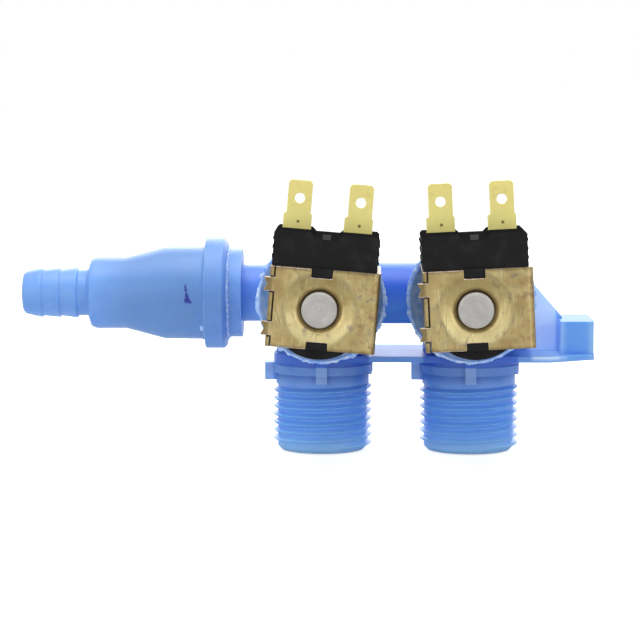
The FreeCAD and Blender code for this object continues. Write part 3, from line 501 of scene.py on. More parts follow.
# %% Pale weld flash
flash, tree, shader, place = new_finish(
    "squeezed_weld_flash",
    Roughness=0.32,
    IOR=1.49,
    Emission_Strength=0.16,
)
lumps = add(tree, "TexNoise", {"Vector": place, "Scale": per(1.2), "Detail": 3.0})
share = add(tree, "MapRange", {"Value": lumps, "From Min": 0.35, "From Max": 0.68})
tone = add(
    tree, "Mix", {0: share, 6: linear("#7FAFF2"), 7: linear("#CFE2FD")}, out=2, data_type="RGBA"
)
tree.links.new(tone, shader.inputs["Base Color"])
tree.links.new(tone, shader.inputs["Emission Color"])
grain = add(tree, "TexNoise", {"Vector": place, "Scale": per(0.5), "Detail": 2.0})
bump = add(tree, "Bump", {"Height": grain, "Distance": 0.08 * MM})
tree.links.new(bump, shader.inputs["Normal"])
print(flash.name, "nodes:", len(tree.nodes))

# %% [markdown]
# The guide tube is acetal, moulded without colour. Its end shows through the bracket as a
# grey-white button. Its flange lies against the blue bowl, whose colour shines through it; that
# light is painted in, so the finish runs from a painted lavender-blue at the flange to grey-white
# at the button.

# %% Uncoloured acetal
guide, tree, shader, place = new_finish(
    "uncoloured_acetal",
    Roughness=0.36,
    IOR=1.48,
    Subsurface_Weight=0.2,
    Subsurface_Radius=(1.0 * MM, 1.0 * MM, 1.1 * MM),
    Subsurface_Scale=1.0,
)
y = add(tree, "SeparateXYZ", {0: place}, out="Y")
forward = add(
    tree,
    "MapRange",
    {
        "Value": y,
        "From Min": -22 * MM,
        "From Max": -18.5 * MM,
        "To Min": 0,
        "To Max": 1,
    },
)
cloud = add(tree, "TexNoise", {"Vector": place, "Scale": per(3.0), "Detail": 3.0})
share = add(tree, "MapRange", {"Value": cloud, "From Min": 0.35, "From Max": 0.7})
pale = add(
    tree, "Mix", {0: share, 6: linear("#B2B0AC"), 7: linear("#C1BFBB")}, out=2, data_type="RGBA"
)
# Painted light: the bowl's blue shining through the flange.
bowl_blue_shining_through = add(
    tree, "Mix", {0: share, 6: linear("#6490D6"), 7: linear("#9AB8E6")}, out=2, data_type="RGBA"
)
tone = add(tree, "Mix", {0: forward, 6: pale, 7: bowl_blue_shining_through}, out=2, data_type="RGBA")
tree.links.new(tone, shader.inputs["Base Color"])
grain = add(tree, "TexNoise", {"Vector": place, "Scale": per(0.5), "Detail": 2.0})
bump = add(tree, "Bump", {"Height": grain, "Distance": 0.01 * MM})
tree.links.new(bump, shader.inputs["Normal"])
print(guide.name, "nodes:", len(tree.nodes))

# %% [markdown]
# The coils are cased in glass-filled nylon, moulded black. The glass fibres roughen the skin,
# so it takes only a broad dull shine, and handling leaves grey rub marks on it.

# %% Black glass-filled nylon
black, tree, shader, place = new_finish(
    "glass_filled_black_nylon", Roughness=0.55, IOR=1.5, Specular_IOR_Level=0.08
)
rubs = add(tree, "TexNoise", {"Vector": place, "Scale": per(4.0), "Detail": 5.0})
share = add(
    tree, "MapRange", {"Value": rubs, "From Min": 0.52, "From Max": 0.8, "To Max": 0.7}
)
tone = add(
    tree, "Mix", {0: share, 6: linear("#222223"), 7: linear("#303031")}, out=2, data_type="RGBA"
)
tree.links.new(tone, shader.inputs["Base Color"])
dull = add(
    tree,
    "MapRange",
    {"Value": rubs, "From Min": 0.4, "From Max": 0.7, "To Min": 0.85, "To Max": 0.65},
)
tree.links.new(dull, shader.inputs["Roughness"])
fibres = add(tree, "TexNoise", {"Vector": place, "Scale": per(0.22), "Detail": 2.0})
bump = add(tree, "Bump", {"Height": fibres, "Distance": 0.02 * MM})
tree.links.new(bump, shader.inputs["Normal"])
print(black.name, "nodes:", len(tree.nodes))

# %% [markdown]
# The top of each casing was moulded against a polished face of the tool. It lies flat under
# the lamp above, where the finish would turn grey, so its copy of the finish is darker and has
# no shine: painted shade that keeps it as black as the front.

# %% Painted shade on the casing's top
black_top_shaded = black.copy()
black_top_shaded.name = "glass_filled_black_nylon_shaded_top"
shader = black_top_shaded.node_tree.nodes["Principled BSDF"]
black_top_shaded.node_tree.links.remove(shader.inputs["Base Color"].links[0])
# Painted shade: a darker, shineless copy for the casing's top.
shader.inputs["Base Color"].default_value = linear("#1F1F20")
shader.inputs["Specular IOR Level"].default_value = 0.0
shader.inputs["IOR"].default_value = 1.02
print(black_top_shaded.name, "copied from", black.name)

# %% [markdown]
# The plastic entered the mould through a gate at the front of the head's dip. It was cut off
# there, and the cut shows the glass fibres, so that small spot is greyer than its skin.

# %% The gate's cut
gate_mark = black.copy()
gate_mark.name = "cut_glass_filled_nylon"
shader = gate_mark.node_tree.nodes["Principled BSDF"]
gate_mark.node_tree.links.remove(shader.inputs["Base Color"].links[0])
shader.inputs["Base Color"].default_value = linear("#474749")
print(gate_mark.name, "copied from", black.name)

# %% [markdown]
# The terminals are stamped from brass strip. Rolling leaves faint lines along the blade, and
# the skin has dulled to an even straw yellow with a few darker spots. Towards the foot the blade
# is painted brighter: painted light that makes up for the shade of the casing's head.

# %% Stamped brass
brass, tree, shader, place = new_finish("stamped_brass_strip", Metallic=0.2, Roughness=0.42)
drawn_out = add(tree, "Mapping", {"Vector": place, "Scale": (1, 1, 0.04)})
lines = add(tree, "TexNoise", {"Vector": drawn_out, "Scale": per(0.18), "Detail": 2.0})
tarnish = add(tree, "TexNoise", {"Vector": place, "Scale": per(1.8), "Detail": 4.0})
share = add(tree, "MapRange", {"Value": tarnish, "From Min": 0.5, "From Max": 0.8})
tone = add(
    tree, "Mix", {0: share, 6: linear("#F5E68C"), 7: linear("#E0CF78")}, out=2, data_type="RGBA"
)
share = add(
    tree, "MapRange", {"Value": lines, "From Min": 0.45, "From Max": 0.7, "To Max": 0.25}
)
tone = add(tree, "Mix", {0: share, 6: tone, 7: linear("#EADFA0")}, out=2, data_type="RGBA")
z = add(tree, "SeparateXYZ", {0: place}, out="Z")
# Painted light: the blade is brighter towards its foot.
painted_light_at_foot = add(
    tree,
    "MapRange",
    {"Value": z, "From Min": 46 * MM, "From Max": 41 * MM, "To Min": 0.0, "To Max": 0.75},
)
tone = add(tree, "Mix", {0: painted_light_at_foot, 6: tone, 7: linear("#FFF59A")}, out=2, data_type="RGBA")
tree.links.new(tone, shader.inputs["Base Color"])
dull = add(
    tree,
    "MapRange",
    {"Value": tarnish, "From Min": 0.3, "From Max": 0.7, "To Min": 0.36, "To Max": 0.5},
)
tree.links.new(dull, shader.inputs["Roughness"])
bump = add(tree, "Bump", {"Height": lines, "Distance": 0.006 * MM})
tree.links.new(bump, shader.inputs["Normal"])
print(brass.name, "nodes:", len(tree.nodes))

# %% [markdown]
# Near its foot each blade carries a small punched dot, where dirt has settled.

# %% Punched dot in the brass
punched, tree, shader, place = new_finish("punched_brass_dot", Metallic=0.4, Roughness=0.6)
grime = add(tree, "TexNoise", {"Vector": place, "Scale": per(0.3), "Detail": 2.0})
tone = add(
    tree, "Mix", {0: grime, 6: linear("#7D7340"), 7: linear("#9C9052")}, out=2, data_type="RGBA"
)
tree.links.new(tone, shader.inputs["Base Color"])
print(punched.name, "nodes:", len(tree.nodes))

# %% [markdown]
# The brackets are steel sheet with zinc plating and yellow passivation, which gives an olive
# gold that is never even. Round the drawn hole the light on the dish is painted: painted light
# and shade on the drawn mouth, a painted highlight on the dish's lower half, painted shade on
# its upper half, and a broken darker line round its edge. Damp has left brown and violet
# stains, mostly near the folded side, and fine scratches run over the plate. Painted shade
# darkens the gap along the fold and the slot ends. The pattern is centred on each solenoid's
# axis and turned with it, so each bracket gets its own copy with its own stains.

# %% Yellow-passivated zinc plating
def passivated(side, seed):
    """The plating of one bracket, centred on its solenoid."""
    material, tree, shader, place = new_finish(
        f"yellow_passivated_zinc_{side}", Metallic=0.75, Roughness=0.36
    )
    centred = add(
        tree,
        "Mapping",
        {
            "Vector": place,
            "Location": (INLET_X[side] * MM, 0, AXIS_RISE * MM),
            "Rotation": (0, math.radians(COIL_TURN[side]), 0),
        },
        vector_type="TEXTURE",
    )
    flat = add(tree, "Mapping", {"Vector": centred, "Scale": (1, 0, 1)})
    out = add(tree, "VectorMath", {0: flat}, out="Value", operation="LENGTH")
    sideways = add(tree, "SeparateXYZ", {0: centred}, out="X")
    own = add(tree, "Mapping", {"Vector": centred, "Location": (seed, 0, 0)})
    clouds = add(tree, "TexNoise", {"Vector": own, "Scale": per(5.5), "Detail": 5.0})
    stains = add(
        tree, "TexNoise", {"Vector": own, "Scale": per(2.4), "Detail": 6.0, "Roughness": 0.65}
    )
    share = add(tree, "MapRange", {"Value": clouds, "From Min": 0.35, "From Max": 0.65})
    tone = add(
        tree, "Mix", {0: share, 6: linear("#A69260"), 7: linear("#CBBB84")}, out=2, data_type="RGBA"
    )
    wobble = add(
        tree, "Math", {0: stains, 1: 1.6 * MM, 2: -0.8 * MM}, operation="MULTIPLY_ADD"
    )
    ring = add(tree, "Math", {0: out, 1: wobble}, operation="ADD")
    # Painted light and shade on the drawn mouth.
    painted_mouth_tone = add(
        tree,
        "MapRange",
        {
            "Value": ring,
            "From Min": 5.0 * MM,
            "From Max": 7.8 * MM,
            "To Min": 0.6,
            "To Max": 0.0,
        },
        interpolation_type="SMOOTHSTEP",
    )
    tone = add(tree, "Mix", {0: painted_mouth_tone, 6: tone, 7: linear("#C4AC72")}, out=2, data_type="RGBA")
    upright = add(tree, "SeparateXYZ", {0: centred}, out="Z")
    in_dish = add(tree, "Math", {0: ring, 1: 7.8 * MM}, operation="SUBTRACT")
    in_dish = add(tree, "Math", {0: in_dish}, operation="ABSOLUTE")
    in_dish = add(
        tree,
        "MapRange",
        {
            "Value": in_dish,
            "From Min": 1.2 * MM,
            "From Max": 2.1 * MM,
            "To Min": 1.0,
            "To Max": 0.0,
        },
    )
    # Painted highlight on the lower half of the dish.
    painted_highlight_in_dish = add(
        tree,
        "MapRange",
        {
            "Value": upright,
            "From Min": 0 * MM,
            "From Max": -6 * MM,
            "To Max": 0.42,
        },
    )
    painted_highlight_in_dish = add(tree, "Math", {0: painted_highlight_in_dish, 1: in_dish}, operation="MULTIPLY")
    tone = add(tree, "Mix", {0: painted_highlight_in_dish, 6: tone, 7: linear("#E2D6A2")}, out=2, data_type="RGBA")
    # Painted shade on the upper half of the dish.
    painted_shade_in_dish = add(
        tree, "MapRange", {"Value": upright, "From Min": 1 * MM, "From Max": 6 * MM, "To Max": 0.5}
    )
    painted_shade_in_dish = add(tree, "Math", {0: painted_shade_in_dish, 1: in_dish}, operation="MULTIPLY")
    tone = add(tree, "Mix", {0: painted_shade_in_dish, 6: tone, 7: linear("#8F7C4C")}, out=2, data_type="RGBA")
    outside = add(
        tree,
        "MapRange",
        {"Value": ring, "From Min": 9.6 * MM, "From Max": 11.5 * MM, "To Max": 0.5},
    )
    blush = add(tree, "MapRange", {"Value": stains, "From Min": 0.42, "From Max": 0.6})
    blush = add(tree, "Math", {0: blush, 1: outside}, operation="MULTIPLY")
    tone = add(tree, "Mix", {0: blush, 6: tone, 7: linear("#B08E62")}, out=2, data_type="RGBA")
    # A broken darker line runs round the dish's edge.
    off_ring = add(tree, "Math", {0: ring, 1: 9.5 * MM}, operation="SUBTRACT")
    off_ring = add(tree, "Math", {0: off_ring}, operation="ABSOLUTE")
    dark_line_round_dish = add(
        tree,
        "MapRange",
        {
            "Value": off_ring,
            "From Min": 0.1 * MM,
            "From Max": 0.9 * MM,
            "To Min": 0.5,
            "To Max": 0.0,
        },
    )
    broken = add(tree, "MapRange", {"Value": clouds, "From Min": 0.45, "From Max": 0.6})
    dark_line_round_dish = add(tree, "Math", {0: dark_line_round_dish, 1: broken}, operation="MULTIPLY")
    tone = add(tree, "Mix", {0: dark_line_round_dish, 6: tone, 7: linear("#8C7960")}, out=2, data_type="RGBA")
    towards_fold = add(
        tree,
        "MapRange",
        {"Value": sideways, "From Min": 2 * MM, "From Max": 11 * MM, "To Min": 0.0, "To Max": 0.09},
    )
    patchy = add(tree, "Math", {0: stains, 1: towards_fold}, operation="ADD")
    brown = add(
        tree, "MapRange", {"Value": patchy, "From Min": 0.62, "From Max": 0.74, "To Max": 0.5}
    )
    tone = add(tree, "Mix", {0: brown, 6: tone, 7: linear("#77624B")}, out=2, data_type="RGBA")
    violet = add(
        tree,
        "MapRange",
        {"Value": stains, "From Min": 0.3, "From Max": 0.42, "To Min": 0.7, "To Max": 0.0},
    )
    tone = add(tree, "Mix", {0: violet, 6: tone, 7: linear("#8A7C78")}, out=2, data_type="RGBA")
    drawn_out = add(tree, "Mapping", {"Vector": own, "Scale": (1, 1, 0.07)})
    hairs = add(tree, "TexNoise", {"Vector": drawn_out, "Scale": per(0.5), "Detail": 2.0})
    bright = add(
        tree, "MapRange", {"Value": hairs, "From Min": 0.6, "From Max": 0.72, "To Max": 0.35}
    )
    tone = add(tree, "Mix", {0: bright, 6: tone, 7: linear("#EBE3BC")}, out=2, data_type="RGBA")
    slanted = add(
        tree,
        "Mapping",
        {"Vector": own, "Rotation": (0, math.radians(24), 0), "Scale": (1, 1, 0.16)},
    )
    cracks = add(
        tree,
        "TexVoronoi",
        {"Vector": slanted, "Scale": per(2.6)},
        feature="DISTANCE_TO_EDGE",
    )
    scratch = add(
        tree,
        "MapRange",
        {
            "Value": cracks,
            "From Min": 0.0,
            "From Max": 0.035,
            "To Min": 0.6,
            "To Max": 0.0,
        },
    )
    patches = add(tree, "MapRange", {"Value": clouds, "From Min": 0.5, "From Max": 0.62})
    scratch = add(tree, "Math", {0: scratch, 1: patches}, operation="MULTIPLY")
    tone = add(tree, "Mix", {0: scratch, 6: tone, 7: linear("#6E5F45")}, out=2, data_type="RGBA")
    centre_x = add(tree, "Math", {0: sideways, 1: 0.9 * MM}, operation="SUBTRACT")
    to_side = add(tree, "Math", {0: centre_x}, operation="ABSOLUTE")
    to_side = add(tree, "Math", {0: to_side, 1: 14.1 * MM}, operation="SUBTRACT")
    to_top = add(tree, "Math", {0: upright}, operation="ABSOLUTE")
    to_top = add(tree, "Math", {0: to_top, 1: 10.35 * MM}, operation="SUBTRACT")
    to_rim = add(tree, "Math", {0: to_side, 1: to_top}, operation="MAXIMUM")
    to_rim = add(tree, "Math", {0: to_rim, 1: wobble}, operation="ADD")
    rim = add(
        tree,
        "MapRange",
        {
            "Value": to_rim,
            "From Min": -0.9 * MM,
            "From Max": -0.1 * MM,
            "To Max": 0.7,
        },
    )
    tone = add(tree, "Mix", {0: rim, 6: tone, 7: linear("#6E5F3E")}, out=2, data_type="RGBA")
    # Painted shade in the gap along the fold and at the slot ends.
    from_fold = add(tree, "Math", {0: sideways, 1: 12.02 * MM}, operation="ADD")
    from_fold = add(tree, "Math", {0: from_fold}, operation="ABSOLUTE")
    painted_shade_in_fold_and_slots = add(
        tree,
        "MapRange",
        {
            "Value": from_fold,
            "From Min": 0.2 * MM,
            "From Max": 0.32 * MM,
            "To Min": 1.0,
            "To Max": 0.0,
        },
    )
    from_tab = add(tree, "Math", {0: upright}, operation="ABSOLUTE")
    from_tab = add(tree, "Math", {0: from_tab, 1: 5.7 * MM}, operation="SUBTRACT")
    from_tab = add(tree, "Math", {0: from_tab}, operation="ABSOLUTE")
    beside_tab = add(
        tree, "MapRange", {"Value": from_tab, "From Min": 1.75 * MM, "From Max": 1.85 * MM}
    )
    painted_shade_in_fold_and_slots = add(tree, "Math", {0: painted_shade_in_fold_and_slots, 1: beside_tab}, operation="MULTIPLY")
    from_slot = add(tree, "Math", {0: from_tab, 1: 1.9 * MM}, operation="SUBTRACT")
    from_slot = add(tree, "Math", {0: from_slot}, operation="ABSOLUTE")
    slot_end = add(
        tree,
        "MapRange",
        {
            "Value": from_slot,
            "From Min": 0.2 * MM,
            "From Max": 0.34 * MM,
            "To Min": 1.0,
            "To Max": 0.0,
        },
    )
    at_edge = add(
        tree, "MapRange", {"Value": sideways, "From Min": -11.8 * MM, "From Max": -11.9 * MM}
    )
    slot_end = add(tree, "Math", {0: slot_end, 1: at_edge}, operation="MULTIPLY")
    painted_shade_in_fold_and_slots = add(tree, "Math", {0: painted_shade_in_fold_and_slots, 1: slot_end}, operation="MAXIMUM")
    depth = add(tree, "SeparateXYZ", {0: centred}, out="Y")
    in_front = add(
        tree,
        "MapRange",
        {
            "Value": depth,
            "From Min": -43.6 * MM,
            "From Max": -43.8 * MM,
            "To Max": 0.9,
        },
    )
    painted_shade_in_fold_and_slots = add(tree, "Math", {0: painted_shade_in_fold_and_slots, 1: in_front}, operation="MULTIPLY")
    tone = add(tree, "Mix", {0: painted_shade_in_fold_and_slots, 6: tone, 7: linear("#1C160E")}, out=2, data_type="RGBA")
    tree.links.new(tone, shader.inputs["Base Color"])
    dull = add(
        tree,
        "MapRange",
        {"Value": stains, "From Min": 0.3, "From Max": 0.75, "To Min": 0.32, "To Max": 0.56},
    )
    tree.links.new(dull, shader.inputs["Roughness"])
    dish = add(
        tree,
        "MapRange",
        {"Value": out, "From Min": 6.0 * MM, "From Max": 9.7 * MM},
        interpolation_type="SMOOTHSTEP",
    )
    dished = add(tree, "Bump", {"Height": dish, "Distance": 0.6 * MM})
    skin = add(tree, "Math", {0: stains, 1: 0.6, 2: hairs}, operation="MULTIPLY_ADD")
    bump = add(tree, "Bump", {"Height": skin, "Distance": 0.02 * MM, "Normal": dished})
    tree.links.new(bump, shader.inputs["Normal"])
    return material


plating = {"left": passivated("left", 0.031), "right": passivated("right", 0.078)}
for side, material in plating.items():
    print(material.name, "nodes:", len(material.node_tree.nodes))

# %% [markdown]
# Where the sheet was sheared, the plating is thin and bare steel shows with a pinkish cast.

# %% Sheared edges of the sheet
sheared, tree, shader, place = new_finish("sheared_steel_edge", Metallic=0.6, Roughness=0.45)
nicks = add(tree, "TexNoise", {"Vector": place, "Scale": per(0.7), "Detail": 3.0})
share = add(tree, "MapRange", {"Value": nicks, "From Min": 0.4, "From Max": 0.65})
tone = add(
    tree, "Mix", {0: share, 6: linear("#D6C3B2"), 7: linear("#8F7B66")}, out=2, data_type="RGBA"
)
tree.links.new(tone, shader.inputs["Base Color"])
bump = add(tree, "Bump", {"Height": nicks, "Distance": 0.03 * MM})
tree.links.new(bump, shader.inputs["Normal"])
print(sheared.name, "nodes:", len(tree.nodes))

# %% [markdown]
# The slots where the bracket's two ends lock together get a near-black finish: painted shade.

# %% Painted shade in the joint's slots
slot_shade, tree, shader, place = new_finish("painted_shade_in_slots", Roughness=0.7)
# Painted shade: near-black in the slots.
slot_speckle = add(tree, "TexNoise", {"Vector": place, "Scale": per(0.4), "Detail": 2.0})
tone = add(
    tree, "Mix", {0: slot_speckle, 6: linear("#1A140C"), 7: linear("#3A2E1E")}, out=2, data_type="RGBA"
)
tree.links.new(tone, shader.inputs["Base Color"])
print(slot_shade.name, "nodes:", len(tree.nodes))

# %% [markdown]
# The inner pieces show only when the valve is looked into or taken apart, and still get the
# finish of what they are. Rubber first: it is dull, and talc from its mould greys it.

# %% Nitrile rubber
rubber, tree, shader, place = new_finish("nitrile_rubber", Roughness=0.8, IOR=1.52)
talc = add(tree, "TexNoise", {"Vector": place, "Scale": per(1.5), "Detail": 4.0})
share = add(tree, "MapRange", {"Value": talc, "From Min": 0.4, "From Max": 0.7})
tone = add(
    tree, "Mix", {0: share, 6: linear("#232323"), 7: linear("#343434")}, out=2, data_type="RGBA"
)
tree.links.new(tone, shader.inputs["Base Color"])
bump = add(tree, "Bump", {"Height": talc, "Distance": 0.02 * MM})
tree.links.new(bump, shader.inputs["Normal"])
print(rubber.name, "nodes:", len(tree.nodes))

# %% [markdown]
# The armature is turned from stainless bar, and the lathe tool leaves rings along it. The
# spring wire is drawn bright. Both are metals whose colour is in their reflection.

# %% Turned stainless steel and spring wire
turned_steel, tree, shader, place = new_finish(
    "turned_stainless_steel", Metallic=1.0, Roughness=0.28
)
rings = add(tree, "Mapping", {"Vector": place, "Scale": (0.03, 1, 0.03)})
marks = add(tree, "TexNoise", {"Vector": rings, "Scale": per(0.15), "Detail": 1.0})
tone = add(
    tree, "Mix", {0: marks, 6: linear("#9DA0A3"), 7: linear("#C4C6C8")}, out=2, data_type="RGBA"
)
tree.links.new(tone, shader.inputs["Base Color"])
bump = add(tree, "Bump", {"Height": marks, "Distance": 0.008 * MM})
tree.links.new(bump, shader.inputs["Normal"])

spring_wire, tree, shader, place = new_finish("drawn_spring_wire", Metallic=1.0, Roughness=0.22)
marks = add(tree, "TexNoise", {"Vector": place, "Scale": per(0.2), "Detail": 2.0})
tone = add(
    tree, "Mix", {0: marks, 6: linear("#A8ABAE"), 7: linear("#D2D4D6")}, out=2, data_type="RGBA"
)
tree.links.new(tone, shader.inputs["Base Color"])
print(turned_steel.name, "and", spring_wire.name)

# %% [markdown]
# The winding is a thousand turns of enamelled copper. The turns of 0.2 mm wire lie side by
# side, so bands of that width along the axis stand for them.

# %% Enamelled copper wire
copper, tree, shader, place = new_finish("enamelled_copper_wire", Metallic=0.9, Roughness=0.3)
turns = add(
    tree,
    "TexWave",
    {"Vector": place, "Scale": per(0.2) / math.tau, "Distortion": 0.6},
    out="Fac",
    bands_direction="Y",
)
tone = add(
    tree, "Mix", {0: turns, 6: linear("#7C3E1E"), 7: linear("#C9773F")}, out=2, data_type="RGBA"
)
tree.links.new(tone, shader.inputs["Base Color"])
bump = add(tree, "Bump", {"Height": turns, "Distance": 0.05 * MM})
tree.links.new(bump, shader.inputs["Normal"])
print(copper.name, "nodes:", len(tree.nodes))

# %% [markdown]
# Bobbins, strainers and inserts are nylon without colour, which is milky and a little yellow.

# %% Uncoloured nylon
nylon, tree, shader, place = new_finish(
    "uncoloured_nylon",
    Roughness=0.4,
    Subsurface_Weight=0.2,
    Subsurface_Radius=(1.0 * MM, 1.0 * MM, 0.9 * MM),
    Subsurface_Scale=1.0,
)
milky = add(tree, "TexNoise", {"Vector": place, "Scale": per(2.0), "Detail": 3.0})
tone = add(
    tree, "Mix", {0: milky, 6: linear("#D2CDC0"), 7: linear("#E6E2D8")}, out=2, data_type="RGBA"
)
tree.links.new(tone, shader.inputs["Base Color"])
grain = add(tree, "TexNoise", {"Vector": place, "Scale": per(0.4), "Detail": 2.0})
bump = add(tree, "Bump", {"Height": grain, "Distance": 0.01 * MM})
tree.links.new(bump, shader.inputs["Normal"])
print("finishes:", len(bpy.data.materials))

# %% [markdown]
# Most solids keep their own mesh and only need the finish. A solid's mesh comes as loose
# triangles with knife-sharp corners, though, and no real moulding or sheet has those. For the
# pieces in plain view a copy is merged, its flat triangles are joined into single faces, and
# its sharp corners get a small bevel that catches a line of light. The copy replaces the solid.

# %% Copy a solid with softened corners
def finish_piece(name, bm, materials, body="valve", instead_of=()):
    """Turn a bmesh into a piece of the valve that rides on a body."""
    mesh = bpy.data.meshes.new(name)
    bm.to_mesh(mesh)
    bm.free()
    piece = bpy.data.objects.new(name, mesh)
    bpy.context.scene.collection.objects.link(piece)
    for material in materials:
        mesh.materials.append(material)
    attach(piece, body)
    if instead_of:
        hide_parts(*instead_of)
    even = piece.modifiers.new("even_shading", "WEIGHTED_NORMAL")
    even.keep_sharp = True
    return piece


def softened(node, width_mm, segments=2, sharp_degrees=35.0):
    """A bmesh copy of a solid, merged and with its sharp edges bevelled."""
    bm = bmesh.new()
    bm.from_mesh(nodes[node].data)
    bmesh.ops.remove_doubles(bm, verts=bm.verts, dist=0.002 * MM)
    bmesh.ops.dissolve_limit(
        bm, angle_limit=math.radians(1), verts=bm.verts, edges=bm.edges, delimit=set()
    )
    width = width_mm * MM
    cramped = {v for e in bm.edges if e.calc_length() < 1.6 * width for v in e.verts}
    sharp = [
        e
        for e in bm.edges
        if len(e.link_faces) == 2
        and e.calc_face_angle(0) > math.radians(sharp_degrees)
        and cramped.isdisjoint(e.verts)
    ]
    bmesh.ops.bevel(
        bm,
        geom=sharp,
        offset=width,
        offset_type="OFFSET",
        affect="EDGES",
        segments=segments,
        profile=0.5,
        clamp_overlap=True,
        material=-1,
    )
    for face in bm.faces:
        face.smooth = True
    for edge in bm.edges:
        if len(edge.link_faces) == 2 and edge.calc_face_angle(0) > math.radians(40):
            edge.smooth = False
    print(node, "edges softened:", len(sharp))
    return bm


# %% [markdown]
# Turned and round moulded pieces are drawn as half a section and spun about their axis. The
# section runs once round the wall, outside and inside, so the spin closes on itself. A bevel
# on its rings rounds each corner as a mould does.

# %% Spin a section
def spun(section, axis, steps=96, round_mm=0.0, segments=2, sharp_degrees=25.0):
    """Spin a section of (along, radius) pairs about X, Y or Z.

    It closes on itself unless it starts on the axis.
    """
    bm = bmesh.new()
    along = {"X": Vector((1, 0, 0)), "Y": Vector((0, 1, 0)), "Z": Vector((0, 0, 1))}[axis]
    out = Vector((0, 0, 1)) if axis != "Z" else Vector((1, 0, 0))
    ring = [bm.verts.new(along * a + out * r) for a, r in section]
    edges = [bm.edges.new(pair) for pair in zip(ring, ring[1:])]
    if section[0][1] > 0:
        edges.append(bm.edges.new((ring[-1], ring[0])))
    bmesh.ops.spin(
        bm,
        geom=ring + edges,
        cent=(0, 0, 0),
        axis=along,
        dvec=(0, 0, 0),
        angle=math.tau,
        steps=steps,
        use_merge=True,
    )
    bmesh.ops.remove_doubles(bm, verts=bm.verts, dist=0.0005)
    bmesh.ops.recalc_face_normals(bm, faces=bm.faces)
    if round_mm:
        sharp = [
            e
            for e in bm.edges
            if len(e.link_faces) == 2 and e.calc_face_angle(0) > math.radians(sharp_degrees)
        ]
        bmesh.ops.bevel(
            bm,
            geom=sharp,
            offset=round_mm,
            offset_type="OFFSET",
            affect="EDGES",
            segments=segments,
            profile=0.5,
            clamp_overlap=True,
            material=-1,
        )
    for face in bm.faces:
        face.smooth = True
    return bm


# %% [markdown]
# The outlet bell is one such round moulding. From the tip it has a blunt nose, three barbs
# that rise gently and drop sharply so that a hose slides on but not off, a chamfered
# shoulder, a cone, and the skirt that was spun onto the manifold.

# %% Outlet bell
bell_section = [
    (-46.1, 10.5),
    (-46.1, 14.3),
    (-47.0, 15.2),
    (-52.0, 15.2),
    (-52.3, 12.95),
    (-53.2, 12.7),
    (-63.3, 12.6),
    (-74.0, 9.8),
    (-82.2, 9.8),
    (-83.5, 9.3),
    (-84.2, 7.2),
    (-84.4, 6.5),
    (-85.0, 6.3),
    (-87.1, 6.3),
    (-87.4, 6.9),
    (-88.2, 6.85),
    (-91.9, 6.35),
    (-92.2, 6.8),
    (-93.0, 6.75),
    (-96.7, 6.35),
    (-97.0, 6.75),
    (-97.9, 6.7),
    (-101.7, 5.8),
    (-102.3, 5.1),
    (-102.3, 4.3),
    (-74.0, 4.3),
    (-62.2, 7.2),
    (-59.2, 7.2),
    (-59.2, 10.5),
]
bm = spun(bell_section, "X", steps=112, round_mm=0.22)
nub = bmesh.ops.create_uvsphere(bm, u_segments=16, v_segments=10, radius=0.75)["verts"]
bmesh.ops.scale(bm, vec=(0.8, 0.7, 1.7), verts=nub)
bmesh.ops.translate(bm, vec=(-52.7, -9.4, -8.4), verts=nub)
for vert in nub:
    for face in vert.link_faces:
        face.smooth = True
        face.material_index = 1
bmesh.ops.transform(bm, matrix=on_pipe(), verts=bm.verts)
bell = finish_piece(
    "outlet_bell_moulding",
    bm,
    [bell_blue, flash],
    instead_of=["outlet_bell"],
)
print("bell faces:", len(bell.data.polygons))


# %% [markdown]
# A lip of flash is a thin ring that the spinning smeared out unevenly. It starts as a round
# section spun about the joint, and then noise moves each of its points in and out, so that
# the lip is ragged but still closed.

# %% Weld flash
def flash_ring(name, axis, along_mm, radius_mm, thick_mm, ragged_mm, matrix, seed, wide=1.0):
    """A ragged ring of flash round an axis."""
    bm = spun(
        [
            (
                along_mm + wide * thick_mm * math.cos(math.tau * i / 8),
                radius_mm + thick_mm * math.sin(math.tau * i / 8),
            )
            for i in range(8)
        ],
        axis,
        steps=260,
    )
    way = {"X": 0, "Y": 1}[axis]
    for vert in bm.verts:
        spoke = vert.co.copy()
        spoke[way] = 0
        reach = spoke.length
        around = spoke / reach
        drift = noise.noise(around * 9 + Vector((seed, 0, 0))) + 0.6 * noise.noise(
            around * 31 + Vector((0, seed, 0))
        )
        outer = max(0.0, (reach - radius_mm) / thick_mm + 0.4)
        vert.co += around * ragged_mm * drift * outer
        vert.co[way] += ragged_mm * 0.7 * noise.noise(around * 23 + Vector((0, 0, seed)))
    bmesh.ops.transform(bm, matrix=matrix, verts=bm.verts)
    return finish_piece(name, bm, [flash])


flash_ring("bell_joint_flash", "X", -45.8, 12.15, 0.42, 0.45, on_pipe(), 3.7)
for side in INLET_X:
    flash_ring(
        f"bowl_flash_{side}",
        "Y",
        -BOWL_FACE - 0.1,
        16.8,
        0.5,
        0.5 if side == "left" else 0.3,
        on_coil(side),
        11.3 if side == "left" else 29.1,
        wide=0.8,
    )

# %% [markdown]
# The inlets carry a 3/4 inch garden hose thread, eleven and a half turns to the inch, which
# is a pitch of 2.209 millimetres. A screw thread is one section that is spun and climbs as it
# turns, right-handed. Both ends sink into the spigot over a quarter turn, as the mould has
# them. The spigot keeps a plain lead below, on which the hose nut starts.

# %% Hose threads
THREAD_PITCH = 2.209
THREAD_ROOT = 12.2
THREAD_CREST = 13.4
THREAD_LOWEST = -23.2
THREAD_RUN_OUT = math.radians(80)
THREAD_SPIN = math.tau * 7 + 2 * THREAD_RUN_OUT
THREAD_STEPS = round(THREAD_SPIN / math.tau * 72)


